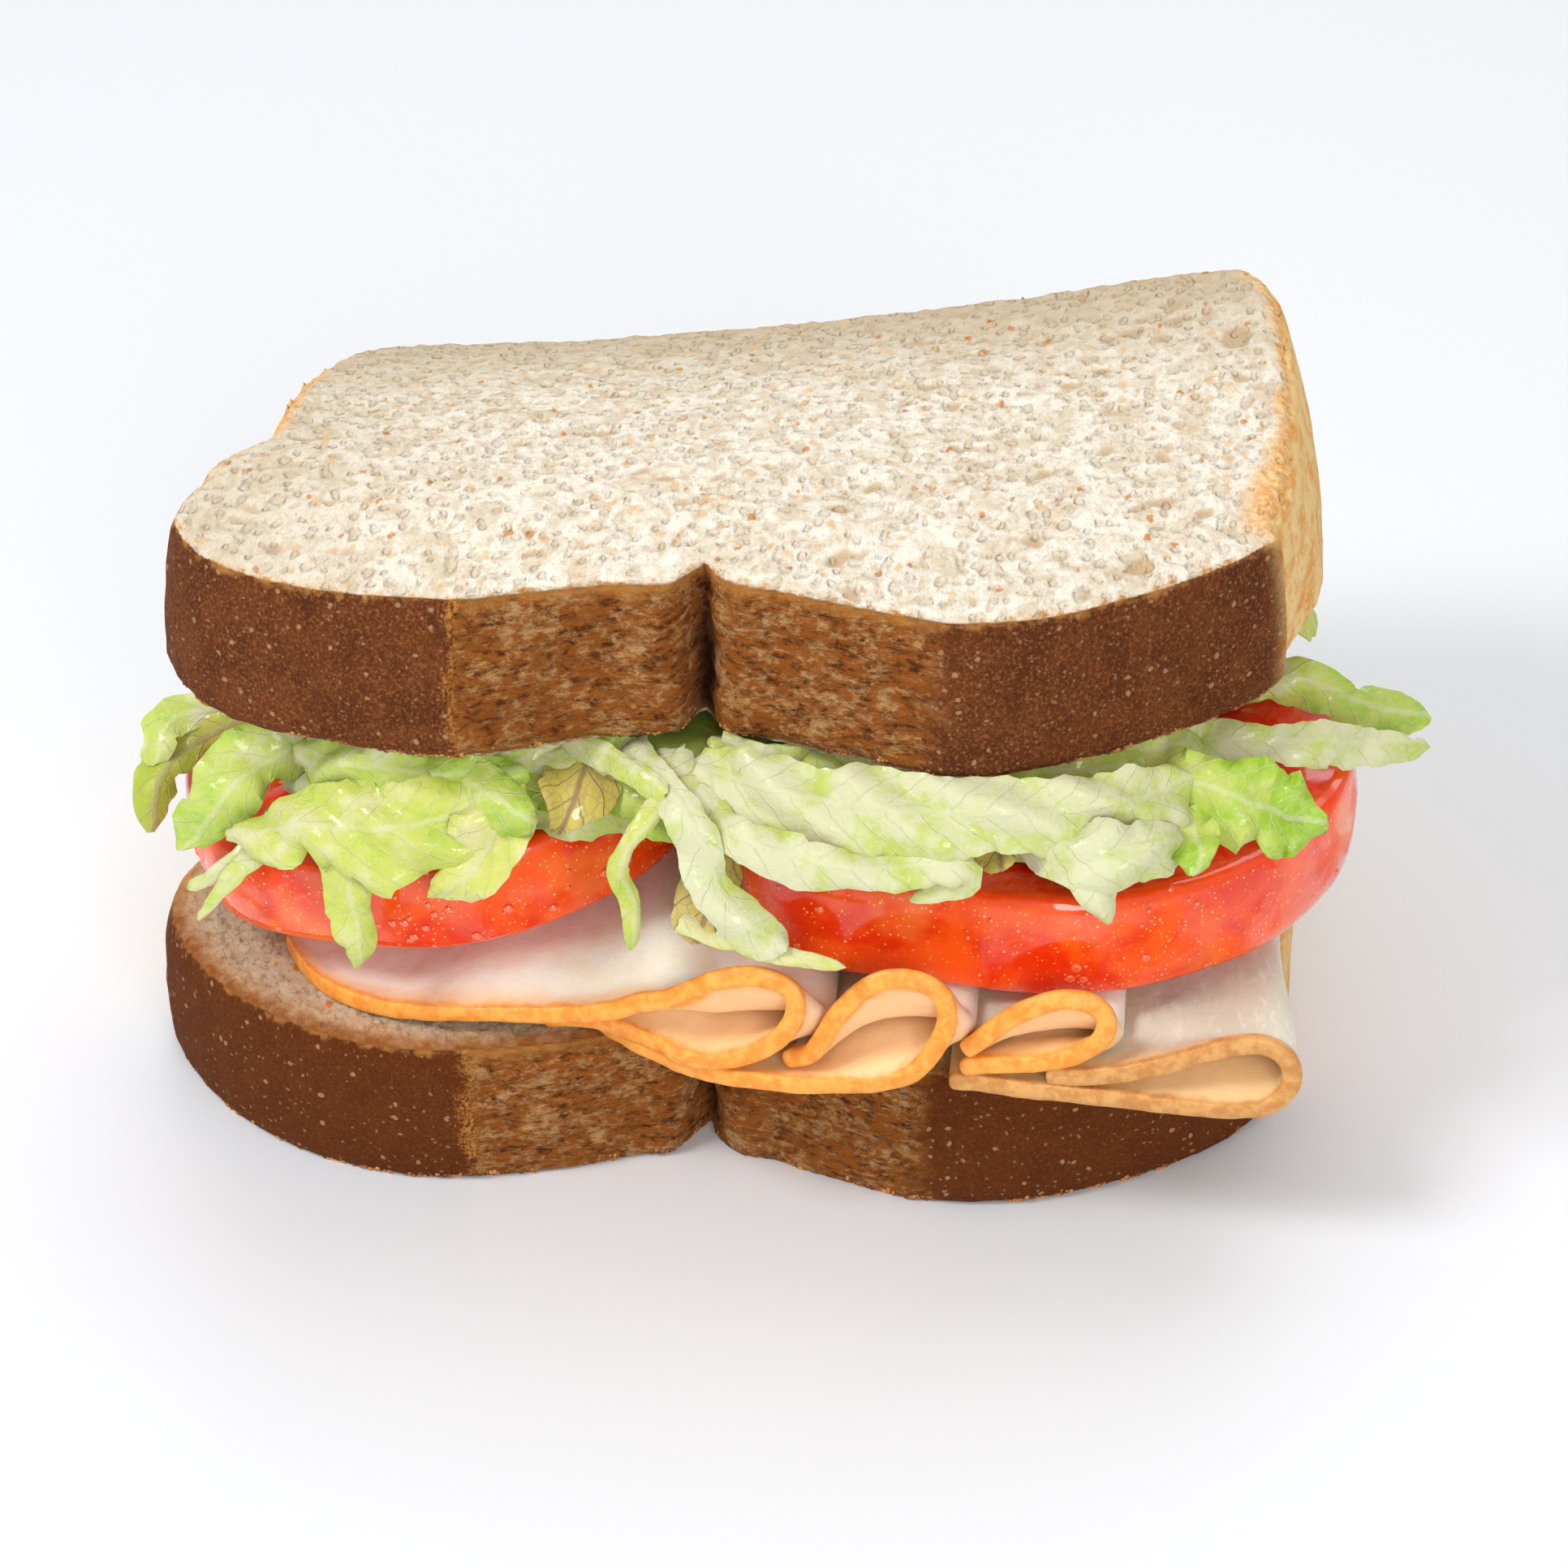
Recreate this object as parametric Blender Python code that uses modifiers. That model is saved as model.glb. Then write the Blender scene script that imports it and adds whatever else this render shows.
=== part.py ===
"""A turkey sandwich: two slices of wheat bread round folded turkey, tomato slices and torn lettuce.

The numbers below are millimetres, turned into metres where a mesh is made. The origin is the middle
of the bottom slice's underside, +Z is up, and -Y is the front, where the crown's split shows.
"""

import math
import random

import bmesh
import bpy
import numpy as np
from mathutils import Vector, noise
from mathutils.bvhtree import BVHTree

MM = 0.001
CLEARANCE = 0.35

# Bread
BOTTOM_SLICE_THICKNESS = 17.0
TOP_SLICE_THICKNESS = 17.9
TOP_SLICE_UNDERSIDE = 52.2
WALL_STEP = 4.6
CRUMB_RELIEF = 0.25

# Where the top slice starts to sag towards the back, how far that stretch runs, and how much it
# drops at its end in the middle of the slice. The drop grows to the left and fades to the right.
SAG_START_Y = -28.5
SAG_RUN = 75.0
SAG_MIDDLE = 14.8
SAG_TILT = 0.14
SAG_BOW = 0.0011

# Tomato
RIGHT_TOMATO_THICKNESS = 11.6
RIGHT_TOMATO_BASE = 26.6
LEFT_TOMATO_THICKNESS = 10.0
LEFT_TOMATO_BASE = 27.6
LEFT_TOMATO_ROLL = 0.19
LEFT_TOMATO_X = -26.5

# Turkey
TURKEY_THICKNESS = 1.5
TURKEY_BED = BOTTOM_SLICE_THICKNESS + CLEARANCE + TURKEY_THICKNESS / 2
TURKEY_PITCH = TURKEY_THICKNESS + CLEARANCE
TURKEY_BACK_Y = 47.0
TURKEY_PRESS_FROM = 22.0
TURKEY_PRESS_LEFT = 0.95
TURKEY_PRESS_RIGHT = 0.33
TURKEY_RISE = 3.0
TURKEY_LIP = 4.5
TURKEY_TURN = 2.0

# Lettuce
LEAF_THICKNESS = 0.9
LEAF_SEED = 12
EDGE_LEAF_COUNT = 15


def clear_scene():
    """Remove what the open file already holds."""
    for item in list(bpy.data.objects):
        bpy.data.objects.remove(item, do_unlink=True)


def make_collection(name):
    """Add an empty collection to the scene."""
    collection = bpy.data.collections.new(name)
    bpy.context.scene.collection.children.link(collection)
    return collection


def make_material(name, colour, roughness):
    """Make a plain Principled material for one kind of food."""
    material = bpy.data.materials.new(name)
    material.use_nodes = True
    shader = material.node_tree.nodes["Principled BSDF"]
    shader.inputs["Base Color"].default_value = (*colour, 1.0)
    shader.inputs["Roughness"].default_value = roughness
    shader.inputs["Metallic"].default_value = 0.0
    material.diffuse_color = (*colour, 1.0)
    return material


def make_object(name, points, faces, collection, material):
    """Make a mesh object from points in millimetres."""
    mesh = bpy.data.meshes.new(name)
    mesh.from_pydata([Vector(point) * MM for point in points], [], faces)
    mesh.materials.append(material)
    made = bpy.data.objects.new(name, mesh)
    collection.objects.link(made)
    return made


def smooth_run(points, step):
    """Return points about one step apart on a smooth curve through a run, without its last point."""
    knots = [np.array(point, dtype=float) for point in points]
    knots = [2 * knots[0] - knots[1], *knots, 2 * knots[-1] - knots[-2]]
    out = []
    for before, start, end, after in zip(knots, knots[1:], knots[2:], knots[3:]):
        pieces = max(1, round(float(np.linalg.norm(end - start)) / step))
        for index in range(pieces):
            t = index / pieces
            out.append(0.5 * (2 * start + (end - before) * t
                              + (2 * before - 5 * start + 4 * end - after) * t * t
                              + (3 * start - before - 3 * end + after) * t ** 3))
    return out


def closed_outline(runs, step):
    """Join smooth runs that meet at sharp corners into one closed outline."""
    outline = []
    for run, following in zip(runs, runs[1:] + runs[:1]):
        outline += smooth_run((*run, following[0]), step)
    return outline


def outward(outline):
    """Return the outward unit direction at each point of an anticlockwise outline."""
    normals = []
    for before, after in zip(outline[-1:] + outline[:-1], outline[1:] + outline[:1]):
        along = after - before
        normals.append(np.array([along[1], -along[0]]) / np.linalg.norm(along))
    return normals


def loft(rings, centre_below, centre_above):
    """Join rings of equal length into one closed body with a point at each end."""
    count = len(rings[0])
    points = [centre_below] + [point for ring in rings for point in ring] + [centre_above]
    last = len(points) - 1
    top = last - count
    faces = []
    for index in range(count):
        after = (index + 1) % count
        faces.append((0, 1 + after, 1 + index))
        faces.append((last, top + index, top + after))
        for ring in range(len(rings) - 1):
            low = 1 + ring * count
            faces.append((low + index, low + after, low + count + after))
            faces.append((low + index, low + count + after, low + count + index))
    return points, faces


def ease(value):
    """Blend smoothly from 0 to 1 as a value goes from 0 to 1."""
    held = min(1.0, max(0.0, value))
    return held * held * (3 - 2 * held)


def sag(x, y):
    """How far the top slice has dropped at a place, against its flat front."""
    run = min(1.0, max(0.0, (y - SAG_START_Y) / SAG_RUN))
    deepest = SAG_MIDDLE - SAG_TILT * x - SAG_BOW * x * x
    return max(0.0, deepest) * run ** 1.5


# Each slice's outline goes anticlockwise from the split: the torn face between the split and the
# break, the right crown lobe, the pan sides with the back between them, the left lobe, and the torn
# face back to the split. Every run ends where the next one starts, at a crease or a corner.
BOTTOM_SLICE = (
    ((0.0, -35.7), (2.2, -38.4), (11.8, -43.0)),
    ((22.8, -46.8), (33.7, -46.2), (46.6, -40.6), (56.0, -33.4)),
    ((60.4, -26.4), (61.4, -12.0), (61.6, 8.0), (60.8, 28.0), (58.4, 40.5), (51.5, 46.2), (30.0, 47.4),
     (0.0, 47.6), (-30.0, 47.2), (-48.0, 46.0), (-56.0, 40.5), (-58.0, 26.0), (-57.0, 6.0), (-57.4, -6.0)),
    ((-60.0, -15.0), (-60.2, -22.9), (-57.2, -30.2), (-50.6, -38.4), (-40.6, -44.8), (-31.0, -47.2)),
    ((-24.0, -46.8), (-14.1, -44.6), (-2.6, -39.2)),
)
TOP_SLICE = (
    ((0.0, -35.2), (2.0, -37.0), (12.0, -40.6)),
    ((25.4, -44.2), (34.0, -42.6), (46.4, -35.2), (54.2, -28.6), (57.6, -24.0)),
    ((57.2, -20.6), (58.4, -12.0), (58.6, 10.0), (57.6, 30.0), (55.8, 41.0), (50.0, 46.8), (25.0, 46.9),
     (-4.0, 46.6), (-26.0, 45.0), (-40.6, 43.4), (-47.2, 37.4), (-49.6, 24.0), (-49.8, 8.0), (-49.0, -3.2)),
    ((-49.0, -5.0), (-51.6, -11.0), (-53.4, -17.0), (-53.2, -22.6)),
    ((-54.2, -25.4), (-54.6, -30.5), (-50.5, -37.2), (-43.0, -41.6), (-33.0, -43.6)),
    ((-22.6, -43.4), (-13.9, -40.8), (-2.4, -38.0)),
)

# The crust wall, from the underside up: share of the thickness, and how far out it stands.
BOTTOM_WALL = ((0.0, -0.2), (0.09, 0.6), (0.42, 1.0), (0.8, 0.7), (0.95, 0.1), (1.0, -0.6))
TOP_WALL = ((0.0, 0.8), (0.07, 1.7), (0.38, 1.7), (0.74, 1.1), (0.94, 0.5), (1.0, -0.2))
CAP_RINGS = (0.93, 0.62, 0.3)
SLICE_CENTRE = np.array([0.0, 2.0])

# What the top slice's wall leans out at its foot: all of its right pan side, and the torn edge at
# the left break.
PAN_SIDE_LEAN = 3.3
BREAK_LEAN = 1.7
BREAK_X = -24.0
BREAK_REACH = 15.0


def wall_lean(x, y, share):
    """How far the top slice's wall leans out at a place and a share of its height."""
    pan_side = PAN_SIDE_LEAN * ease((x - 50) / 6) * ease((y + 22) / 18)
    near_break = ease(1 - abs(x - BREAK_X) / BREAK_REACH) * (1 if y < 0 else 0)
    return (1 - share) * (pan_side + BREAK_LEAN * near_break)


def bread_slice(name, runs, wall, base, thickness, sags, collection, material):
    """Make one slice: a crust wall round its outline, closed by rough crumb faces."""
    outline = closed_outline(runs, WALL_STEP)
    normals = outward(outline)
    rings = []

    def placed(x, y, share):
        """Put one point of the slice at its height, with the crumb's low bumps."""
        bump = CRUMB_RELIEF * noise.noise(Vector((x, y, base + 30.0 * share)) * 0.12)
        is_foot = share == 0.0 and not sags
        height = base + thickness * share + (0.0 if is_foot else bump)
        return (x, y, height - (sag(x, y) if sags else 0.0))

    for share, stand in wall:
        ring = []
        for point, normal in zip(outline, normals):
            lean = wall_lean(*point, share) if sags else 0.0
            x, y = point + normal * (stand + lean)
            ring.append(placed(x, y, share))
        rings.append(ring)
    edges = (rings[0], rings[-1])
    for edge, share, where in ((edges[0], 0.0, 0), (edges[1], 1.0, len(rings))):
        caps = []
        for scale in CAP_RINGS:
            shrunk = [SLICE_CENTRE + (np.array(point[:2]) - SLICE_CENTRE) * scale for point in edge]
            caps.append([placed(x, y, share) for x, y in shrunk])
        if where > 0:
            rings = rings + caps
        elif sags:
            rings = caps[::-1] + rings
    below = placed(*SLICE_CENTRE, 0.0)
    above = placed(*SLICE_CENTRE, 1.0)
    points, faces = loft(rings, below, above)
    return make_object(name, points, faces, collection, material)


# A tomato slice's rim from its underside up: share of the thickness, and how far inside its widest
# line it lies. The skin is barrel shaped and its edges are cut square.
TOMATO_RIM = ((0.0, 1.0), (0.05, 0.5), (0.27, 0.1), (0.62, 0.0), (0.93, 0.6), (1.0, 1.1))
TOMATO_SIDES = 48


def tomato_radius(angle, radii, corner):
    """Radius of a tomato slice's outline at an angle, squarer towards one front corner."""
    right, left, depth = radii
    across = right if math.cos(angle) > 0 else left
    facing = max(0.0, math.cos(angle - corner[0]))
    power = 2.1 + corner[1] * facing * facing
    spread = (abs(math.cos(angle)) / across) ** power + (abs(math.sin(angle)) / depth) ** power
    lobes = 0.5 * math.cos(5 * angle + 0.8) + 0.3 * math.cos(8 * angle)
    return spread ** (-1 / power) + lobes


def tomato_slice(name, radii, corner, centre, thickness, roll, collection, material):
    """Make one thick tomato slice, placed and rolled as it lies in the stack."""
    angles = [2 * math.pi * index / TOMATO_SIDES for index in range(TOMATO_SIDES)]
    rim = []
    for share, inside in TOMATO_RIM:
        ring = []
        for angle in angles:
            radius = tomato_radius(angle, radii, corner) - inside
            ring.append((radius * math.cos(angle), radius * math.sin(angle), thickness * share))
        rim.append(ring)
    inner_below = [(x * 0.5, y * 0.5, z) for x, y, z in rim[0]]
    inner_above = [(x * 0.5, y * 0.5, z - 0.2) for x, y, z in rim[-1]]
    points, faces = loft([inner_below, *rim, inner_above], (0, 0, 0), (0, 0, thickness - 0.3))
    made = make_object(name, points, faces, collection, material)
    made.location = Vector(centre) * MM
    made.rotation_euler = (0.0, -math.atan(roll), 0.0)
    return made


# Each folded slice of turkey as its front edge shows it: x, height of the middle of the slice, and
# how far forward (-Y) that part of the edge comes. A path starts at the free end of the upper
# layer, goes right to the fold, and comes back left in the lower layer.
FIRST = TURKEY_BED
SECOND = TURKEY_BED + TURKEY_PITCH
THIRD = TURKEY_BED + 2 * TURKEY_PITCH
TURKEY_FOLDS = {
    "turkey_1": (3.0, (
        (-45.8, FIRST, -31.0), (-42.4, FIRST, -36.6), (-37.6, FIRST + 0.1, -40.9),
        (-30.0, FIRST + 0.9, -44.2), (-22.0, SECOND + 0.4, -45.6), (-13.0, 22.8, -48.0),
        (-4.5, 27.6, -50.2), (2.6, 31.0, -51.6), (7.4, 31.6, -52.0), (10.4, 29.8, -52.0),
        (10.6, 26.4, -52.0), (8.4, 22.9, -52.0), (4.0, SECOND + 0.5, -52.0), (-1.0, SECOND, -51.2),
        (-7.0, SECOND, -48.4), (-13.0, SECOND, -45.4), (-19.0, FIRST + 0.3, -43.0))),
    "turkey_2": (2.2, (
        (8.6, SECOND, -50.2), (12.2, 21.6, -51.4), (15.4, 27.6, -51.8), (18.6, 31.2, -52.0),
        (22.4, 32.1, -52.0), (25.4, 30.8, -52.0), (26.3, 27.2, -52.0), (25.0, 23.0, -52.0),
        (22.4, 19.6, -52.0), (17.4, FIRST + 0.1, -52.0), (6.5, FIRST, -51.8), (-1.0, FIRST, -50.2),
        (-7.5, FIRST, -47.0), (-13.0, FIRST, -42.6))),
    "turkey_3": (1.2, (
        (29.0, 23.6, -50.6), (32.6, 27.9, -51.4), (36.6, 30.3, -51.8), (40.4, 30.5, -51.8),
        (42.4, 28.6, -51.8), (42.0, 25.6, -51.8), (39.4, 23.2, -51.8), (36.0, THIRD + 0.1, -51.4),
        (31.4, SECOND + 1.0, -50.8), (27.2, SECOND, -50.2))),
    "turkey_4": (0.0, (
        (36.6, SECOND, -51.0), (42.0, SECOND + 0.7, -51.6),
        (48.0, 22.6, -52.2), (54.0, 25.5, -52.6), (58.8, 26.1, -52.6), (61.4, 23.9, -52.4),
        (61.4, 20.8, -52.4), (59.0, 18.5, -52.6), (54.0, FIRST, -52.8), (42.0, FIRST, -51.6),
        (26.6, FIRST, -50.0))),
}
TURKEY_STEP = 3.3
TURKEY_ROWS = (0.0, 0.025, 0.05, 0.3, 0.65, 1.0)


def turkey_slice(name, shift, path, collection, material):
    """Make one folded slice: a bent sheet whose open lip stands in front of the tomatoes."""
    edge = smooth_run((*path, path[-1]), TURKEY_STEP)
    turn = max(range(len(edge)), key=lambda index: edge[index][0])
    points = []
    for row in TURKEY_ROWS:
        for index, (x, height, front) in enumerate(edge):
            back = TURKEY_BACK_Y - 0.5 * (front + 52.0) + 1.2 * math.sin(0.35 * index)
            y = front + (back - front) * row
            press = ease((y + 52.0) / TURKEY_LIP)
            over = max(0.0, height - TURKEY_PRESS_FROM)
            ahead = 1 - ease(y / 20)
            free = ahead * (1 - ease((x + 9) / 9))
            kept = TURKEY_PRESS_RIGHT + (TURKEY_PRESS_LEFT - TURKEY_PRESS_RIGHT) * free
            pressed = height - over * (1 - kept) * press
            if index < turn:
                pressed += TURKEY_RISE * ahead * ease((y + 46) / 8) * ease((x + 34) / 12) * ease((3 - x) / 10)
            slide = shift * press * ease((x + 40.0) / 30.0)
            slide -= TURKEY_TURN * ease((x - 46.0) / 12.0) * ease((y + 52.0) / 26.0)
            points.append((x + slide, y, pressed))
    width = len(edge)
    faces = []
    for row in range(len(TURKEY_ROWS) - 1):
        for index in range(width - 1):
            low = row * width + index
            faces.append((low, low + width, low + width + 1))
            faces.append((low, low + width + 1, low + 1))
    made = make_object(name, points, faces, collection, material)
    solidify = made.modifiers.new("thickness", "SOLIDIFY")
    solidify.thickness = TURKEY_THICKNESS * MM
    solidify.offset = 0.0
    return made


# Torn lettuce that shows at the front, as spines with a width: x, y, z and width at each point.
# The first point of each lies in the heap, and the rest come out of it.
FRONT_LEAVES = {
    "loop_left": ((-43, -16, 42, 3), (-56, -18, 39.6, 2.5), (-60.6, -20, 38.2, 2.6), (-61.2, -22.5, 34.6, 2.4)),
    "olive_left": ((-43, -17, 41, 3), (-56, -19, 37.5, 3.5), (-61.6, -24, 33.5, 3.7), (-61.4, -27, 29, 2.5)),
    "green_left": ((-40, -28, 45, 6), (-48, -34.5, 42.4, 7.6), (-52, -36.5, 38, 7), (-55.5, -37, 33.6, 2.2)),
    "green_under": ((-42, -36, 46, 4), (-36, -42, 48, 5), (-26, -44, 48.5, 5), (-17, -43, 48.8, 4)),
    "shred_left_a": ((-44, -35, 38, 3), (-49, -38.5, 33.4, 2.2), (-54.4, -38, 29.4, 1.2)),
    "shred_left_b": ((-43, -36, 37, 3), (-48, -40, 34, 2.2), (-52.8, -41, 27.6, 1.2)),
    "big_yellow": ((-47.5, -41.5, 38, 3), (-39.4, -45.5, 42.8, 8.4), (-31.5, -47.5, 44.2, 10),
                   (-24, -47, 46.2, 8.4), (-17.5, -43, 48.6, 5)),
    "light_curl": ((-26, -42, 47.5, 5), (-20.4, -47, 48.2, 6.4), (-16, -49, 46.4, 5)),
    "tongue": ((-36.5, -43.5, 43.4, 4), (-35.8, -48, 36, 5), (-34.8, -48.4, 30.6, 4.6), (-35, -48, 28, 1)),
    "crumpled": ((-20.5, -45, 48.2, 6), (-20.4, -48.6, 45.6, 8.2), (-23, -49.4, 41, 6), (-26.8, -49, 37.4, 1.5)),
    "veined": ((-12, -38, 48.5, 7), (-12.5, -43.5, 47.6, 8.6), (-14, -47, 44.6, 4)),
    "pale_cross": ((-14, -38, 50, 3), (-7.6, -43, 50.6, 2.8), (-2.6, -47.5, 50, 2.6)),
    "strand": ((1, -42, 48.6, 3), (-4, -48.6, 48.4, 2.3), (-7.3, -50.4, 43, 2.3), (-6.1, -50.4, 38.7, 2.2),
               (-6, -50.4, 34, 1.8)),
    "thick_strip": ((-7, -39, 50.6, 4), (-1.6, -48, 49.4, 4.4), (1, -50, 45.6, 4.1), (3, -51, 40.6, 3.9),
                    (6.2, -52, 37.2, 4.4), (10, -52.4, 35.4, 3.6)),
    "brown_veined": ((2.6, -42, 44, 5), (1.4, -47.6, 38.6, 6.4), (0.2, -50.4, 34.2, 4.6)),
    "flat_shred": ((-1, -49, 36, 3), (4.2, -51, 35, 2.3), (10.8, -52.4, 34.3, 1.8), (16, -52.8, 33.9, 1)),
    "sheet": ((0, -42, 49.6, 5), (8, -45.6, 49.6, 8), (19, -47.4, 49, 9.4), (32, -48, 49.6, 8),
              (44.4, -43.6, 49, 7.6), (50, -38, 48.6, 5)),
    "ribbon": ((0, -44, 48.4, 4), (4.4, -49.6, 46.6, 4.6), (12.4, -51, 44.8, 5), (19.2, -51, 44.2, 4.4),
               (25.6, -50.6, 44.8, 3.4), (28, -50.4, 43.4, 3), (22.4, -50.8, 41, 1.5)),
    "tan_piece": ((30.6, -45, 46.6, 4), (31, -49, 43.6, 4)),
    "rib_chunk": ((34, -43, 45.6, 6), (39.2, -49.2, 46.4, 7.2), (44.8, -48.8, 46.6, 7), (49.8, -44, 45, 5)),
    "rib_tongue": ((40, -45, 46, 5), (41, -50.4, 43.6, 5), (42.2, -51.2, 40.4, 2)),
    "ruffled": ((47, -36, 48, 5), (53.4, -39.6, 47.8, 9), (59, -40, 45.8, 9.4), (64, -39, 44.4, 3.6)),
    "lace_right": ((49, -40, 46.4, 4), (50.6, -46, 45.6, 5), (50.4, -47.8, 43.6, 2.4)),
    "long_right_a": ((46, -12, 45, 5), (61, -13, 45.6, 4.6), (68, -12.6, 42.6, 5.4), (75.6, -11, 40.4, 4)),
    "long_right_b": ((45, -26, 46, 5), (60, -26, 46, 4.6), (68.4, -21.6, 43.6, 4.4), (75.4, -17.6, 41.2, 2.8)),
}
FRONT_FACING = Vector((0.0, -0.85, 0.52))
LEAF_ALONG = 3.7
LEAF_ACROSS = 3
SETTLE_REACH = 5.0
RUFFLE = 0.7
RUFFLE_WAVE = 1.05

# The heap's core, as shares of the way from the stack's middle out to its edge, with its own edge
# this far inside the bread's.
CORE_SHARES = (0.3, 0.6, 0.82, 0.94)
CORE_SIDES = 40
CORE_EDGE = (51.0, 39.5, 42.5)
CORE_MIDDLE_X = 1.5


def leaf_sheet(spine, facing, ripple):
    """Make a thin wavy sheet of triangles along a spine of (x, y, z, width) points."""
    line = smooth_run((*spine, spine[-1]), LEAF_ALONG)
    rows = []
    for index, point in enumerate(line):
        before = Vector(line[max(0, index - 1)][:3])
        after = Vector(line[min(len(line) - 1, index + 1)][:3])
        along = (after - before).normalized()
        across = along.cross(facing).normalized()
        lift = across.cross(along)
        row = []
        for column in range(LEAF_ACROSS + 1):
            share = column / LEAF_ACROSS - 0.5
            wave = RUFFLE * math.sin(RUFFLE_WAVE * index + ripple + 2.2 * share)
            row.append(Vector(point[:3]) + across * (share * point[3]) + lift * wave * (0.4 + abs(share)))
        rows.append(row)
    return rows


def settle(rows, solids, clearance):
    """Push a leaf's points off the food it would cut, so that it lies against it."""
    reach = SETTLE_REACH * MM
    for row in rows:
        for index, point in enumerate(row):
            for _ in range(3):
                for solid in solids:
                    place, normal, _, distance = solid.find_nearest(point * MM)
                    inside = distance < reach and (point * MM - place).dot(normal) < 0
                    if inside or distance < clearance * MM:
                        point = (place + normal * clearance * MM) / MM
            row[index] = point
    return rows


def leaf_object(name, rows, collection, material):
    """Give a leaf's sheet its thickness and make it a closed mesh."""
    width = len(rows[0])
    points = [tuple(point) for row in rows for point in row]
    faces = []
    for row in range(len(rows) - 1):
        for column in range(width - 1):
            low = row * width + column
            faces.append((low, low + 1, low + width + 1))
            faces.append((low, low + width + 1, low + width))
    made = make_object(name, points, faces, collection, material)
    solidify = made.modifiers.new("thickness", "SOLIDIFY")
    solidify.thickness = LEAF_THICKNESS * MM
    solidify.offset = 0.0
    freeze(made)
    return made


def freeze(item):
    """Replace an object's mesh by what its modifiers make of it."""
    depsgraph = bpy.context.evaluated_depsgraph_get()
    baked = bpy.data.meshes.new_from_object(item.evaluated_get(depsgraph))
    item.modifiers.clear()
    item.data = baked


def solid_tree(item):
    """Search tree over an object's finished surface, in metres."""
    depsgraph = bpy.context.evaluated_depsgraph_get()
    shape = bmesh.new()
    shape.from_object(item, depsgraph)
    shape.transform(item.matrix_world)
    tree = BVHTree.FromBMesh(shape)
    shape.free()
    return tree


def floor_under_heap(x, y):
    """Lowest height that is free for the lettuce at a place inside the stack."""
    left = LEFT_TOMATO_BASE + LEFT_TOMATO_ROLL * (min(x, 3) - LEFT_TOMATO_X) + LEFT_TOMATO_THICKNESS
    right = RIGHT_TOMATO_BASE + RIGHT_TOMATO_THICKNESS
    tomato_top = max(right, left - 0.5 * max(0, x - 14))
    behind = ease((y - 25.5) / 9)
    return tomato_top + 1.0 - behind * (tomato_top - 28.0)


def lettuce_core(collection, material):
    """Make the heap's core: all that fits between the tomatoes, the turkey and the top slice."""
    side, front, back = CORE_EDGE
    lower = []
    upper = []
    for share in (*CORE_SHARES, 1.0):
        low_ring = []
        high_ring = []
        for index in range(CORE_SIDES):
            angle = 2 * math.pi * index / CORE_SIDES
            depth = back if math.sin(angle) > 0 else front
            ragged = 1 + 0.03 * math.sin(7 * angle) + 0.02 * math.sin(11 * angle + 1)
            power = 3.2
            spread = (abs(math.cos(angle)) / side) ** power + (abs(math.sin(angle)) / depth) ** power
            radius = spread ** (-1 / power) * ragged * share
            x = radius * math.cos(angle) + CORE_MIDDLE_X
            y = radius * math.sin(angle)
            high = TOP_SLICE_UNDERSIDE - 1.0 - sag(x, y)
            low = min(floor_under_heap(x, y), high - 1.5)
            middle = (low + high) / 2
            thin = 0.55 if share == 1.0 else 1.0
            low_ring.append((x, y, middle + (low - middle) * thin))
            high_ring.append((x, y, middle + (high - middle) * thin))
        lower.append(low_ring)
        upper.append(high_ring)
    below = (CORE_MIDDLE_X, 0.0, floor_under_heap(CORE_MIDDLE_X, 0.0))
    above = (CORE_MIDDLE_X, 0.0, TOP_SLICE_UNDERSIDE - 1.0 - sag(CORE_MIDDLE_X, 0.0))
    points, faces = loft(lower + upper[::-1], below, above)
    return make_object("lettuce", points, faces, collection, material)


def edge_leaves(rng):
    """Spines of the torn pieces that stick out at the sides and the back, spread by a seeded rule."""
    spines = []
    for index in range(EDGE_LEAF_COUNT):
        angle = math.radians(-12 + 206 * (index + 0.5) / EDGE_LEAF_COUNT + rng.uniform(-6, 6))
        direction = Vector((math.cos(angle), math.sin(angle), 0.0))
        side = 56.0 if direction.x > 0 else 49.0
        reach = 1 / ((abs(direction.x) / side) ** 4 + (abs(direction.y) / 46.0) ** 4) ** 0.25
        turn = Vector((-direction.y, direction.x, 0.0)) * rng.uniform(-8, 8)
        width = rng.choice((3.4, 5.5, 8.0, 11.0))
        roof = TOP_SLICE_UNDERSIDE - sag(*(direction * reach).xy) - 1.4
        drop = rng.uniform(1.0, 8.0)
        spine = []
        for out, fall in ((-9.0, 3.0), (-3.0, 1.6), (2.0, 2.4), (rng.uniform(3.5, 9.5), 2.4 + drop)):
            place = direction * (reach + out) + turn * (out / 8)
            spine.append((place.x, place.y, roof - fall, width * (0.5 if fall > 5 else 1.0)))
        spines.append((spine, direction * 0.5 + Vector((0, 0, 0.85))))
    return spines


def outer_shell_only(item):
    """Keep the largest closed shell, dropping loose scraps and sealed hollows."""
    shape = bmesh.new()
    shape.from_mesh(item.data)
    bmesh.ops.triangulate(shape, faces=shape.faces[:])
    shells = []
    unseen = set(shape.faces)
    while unseen:
        grow = [unseen.pop()]
        shell = []
        while grow:
            face = grow.pop()
            shell.append(face)
            for edge in face.edges:
                for beside in edge.link_faces:
                    if beside in unseen:
                        unseen.remove(beside)
                        grow.append(beside)
        shells.append(shell)
    shells.sort(key=lambda shell: sum(face.calc_area() for face in shell))
    loose = [face for shell in shells[:-1] for face in shell]
    bmesh.ops.delete(shape, geom=loose, context="FACES")
    shape.to_mesh(item.data)
    shape.free()


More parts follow.
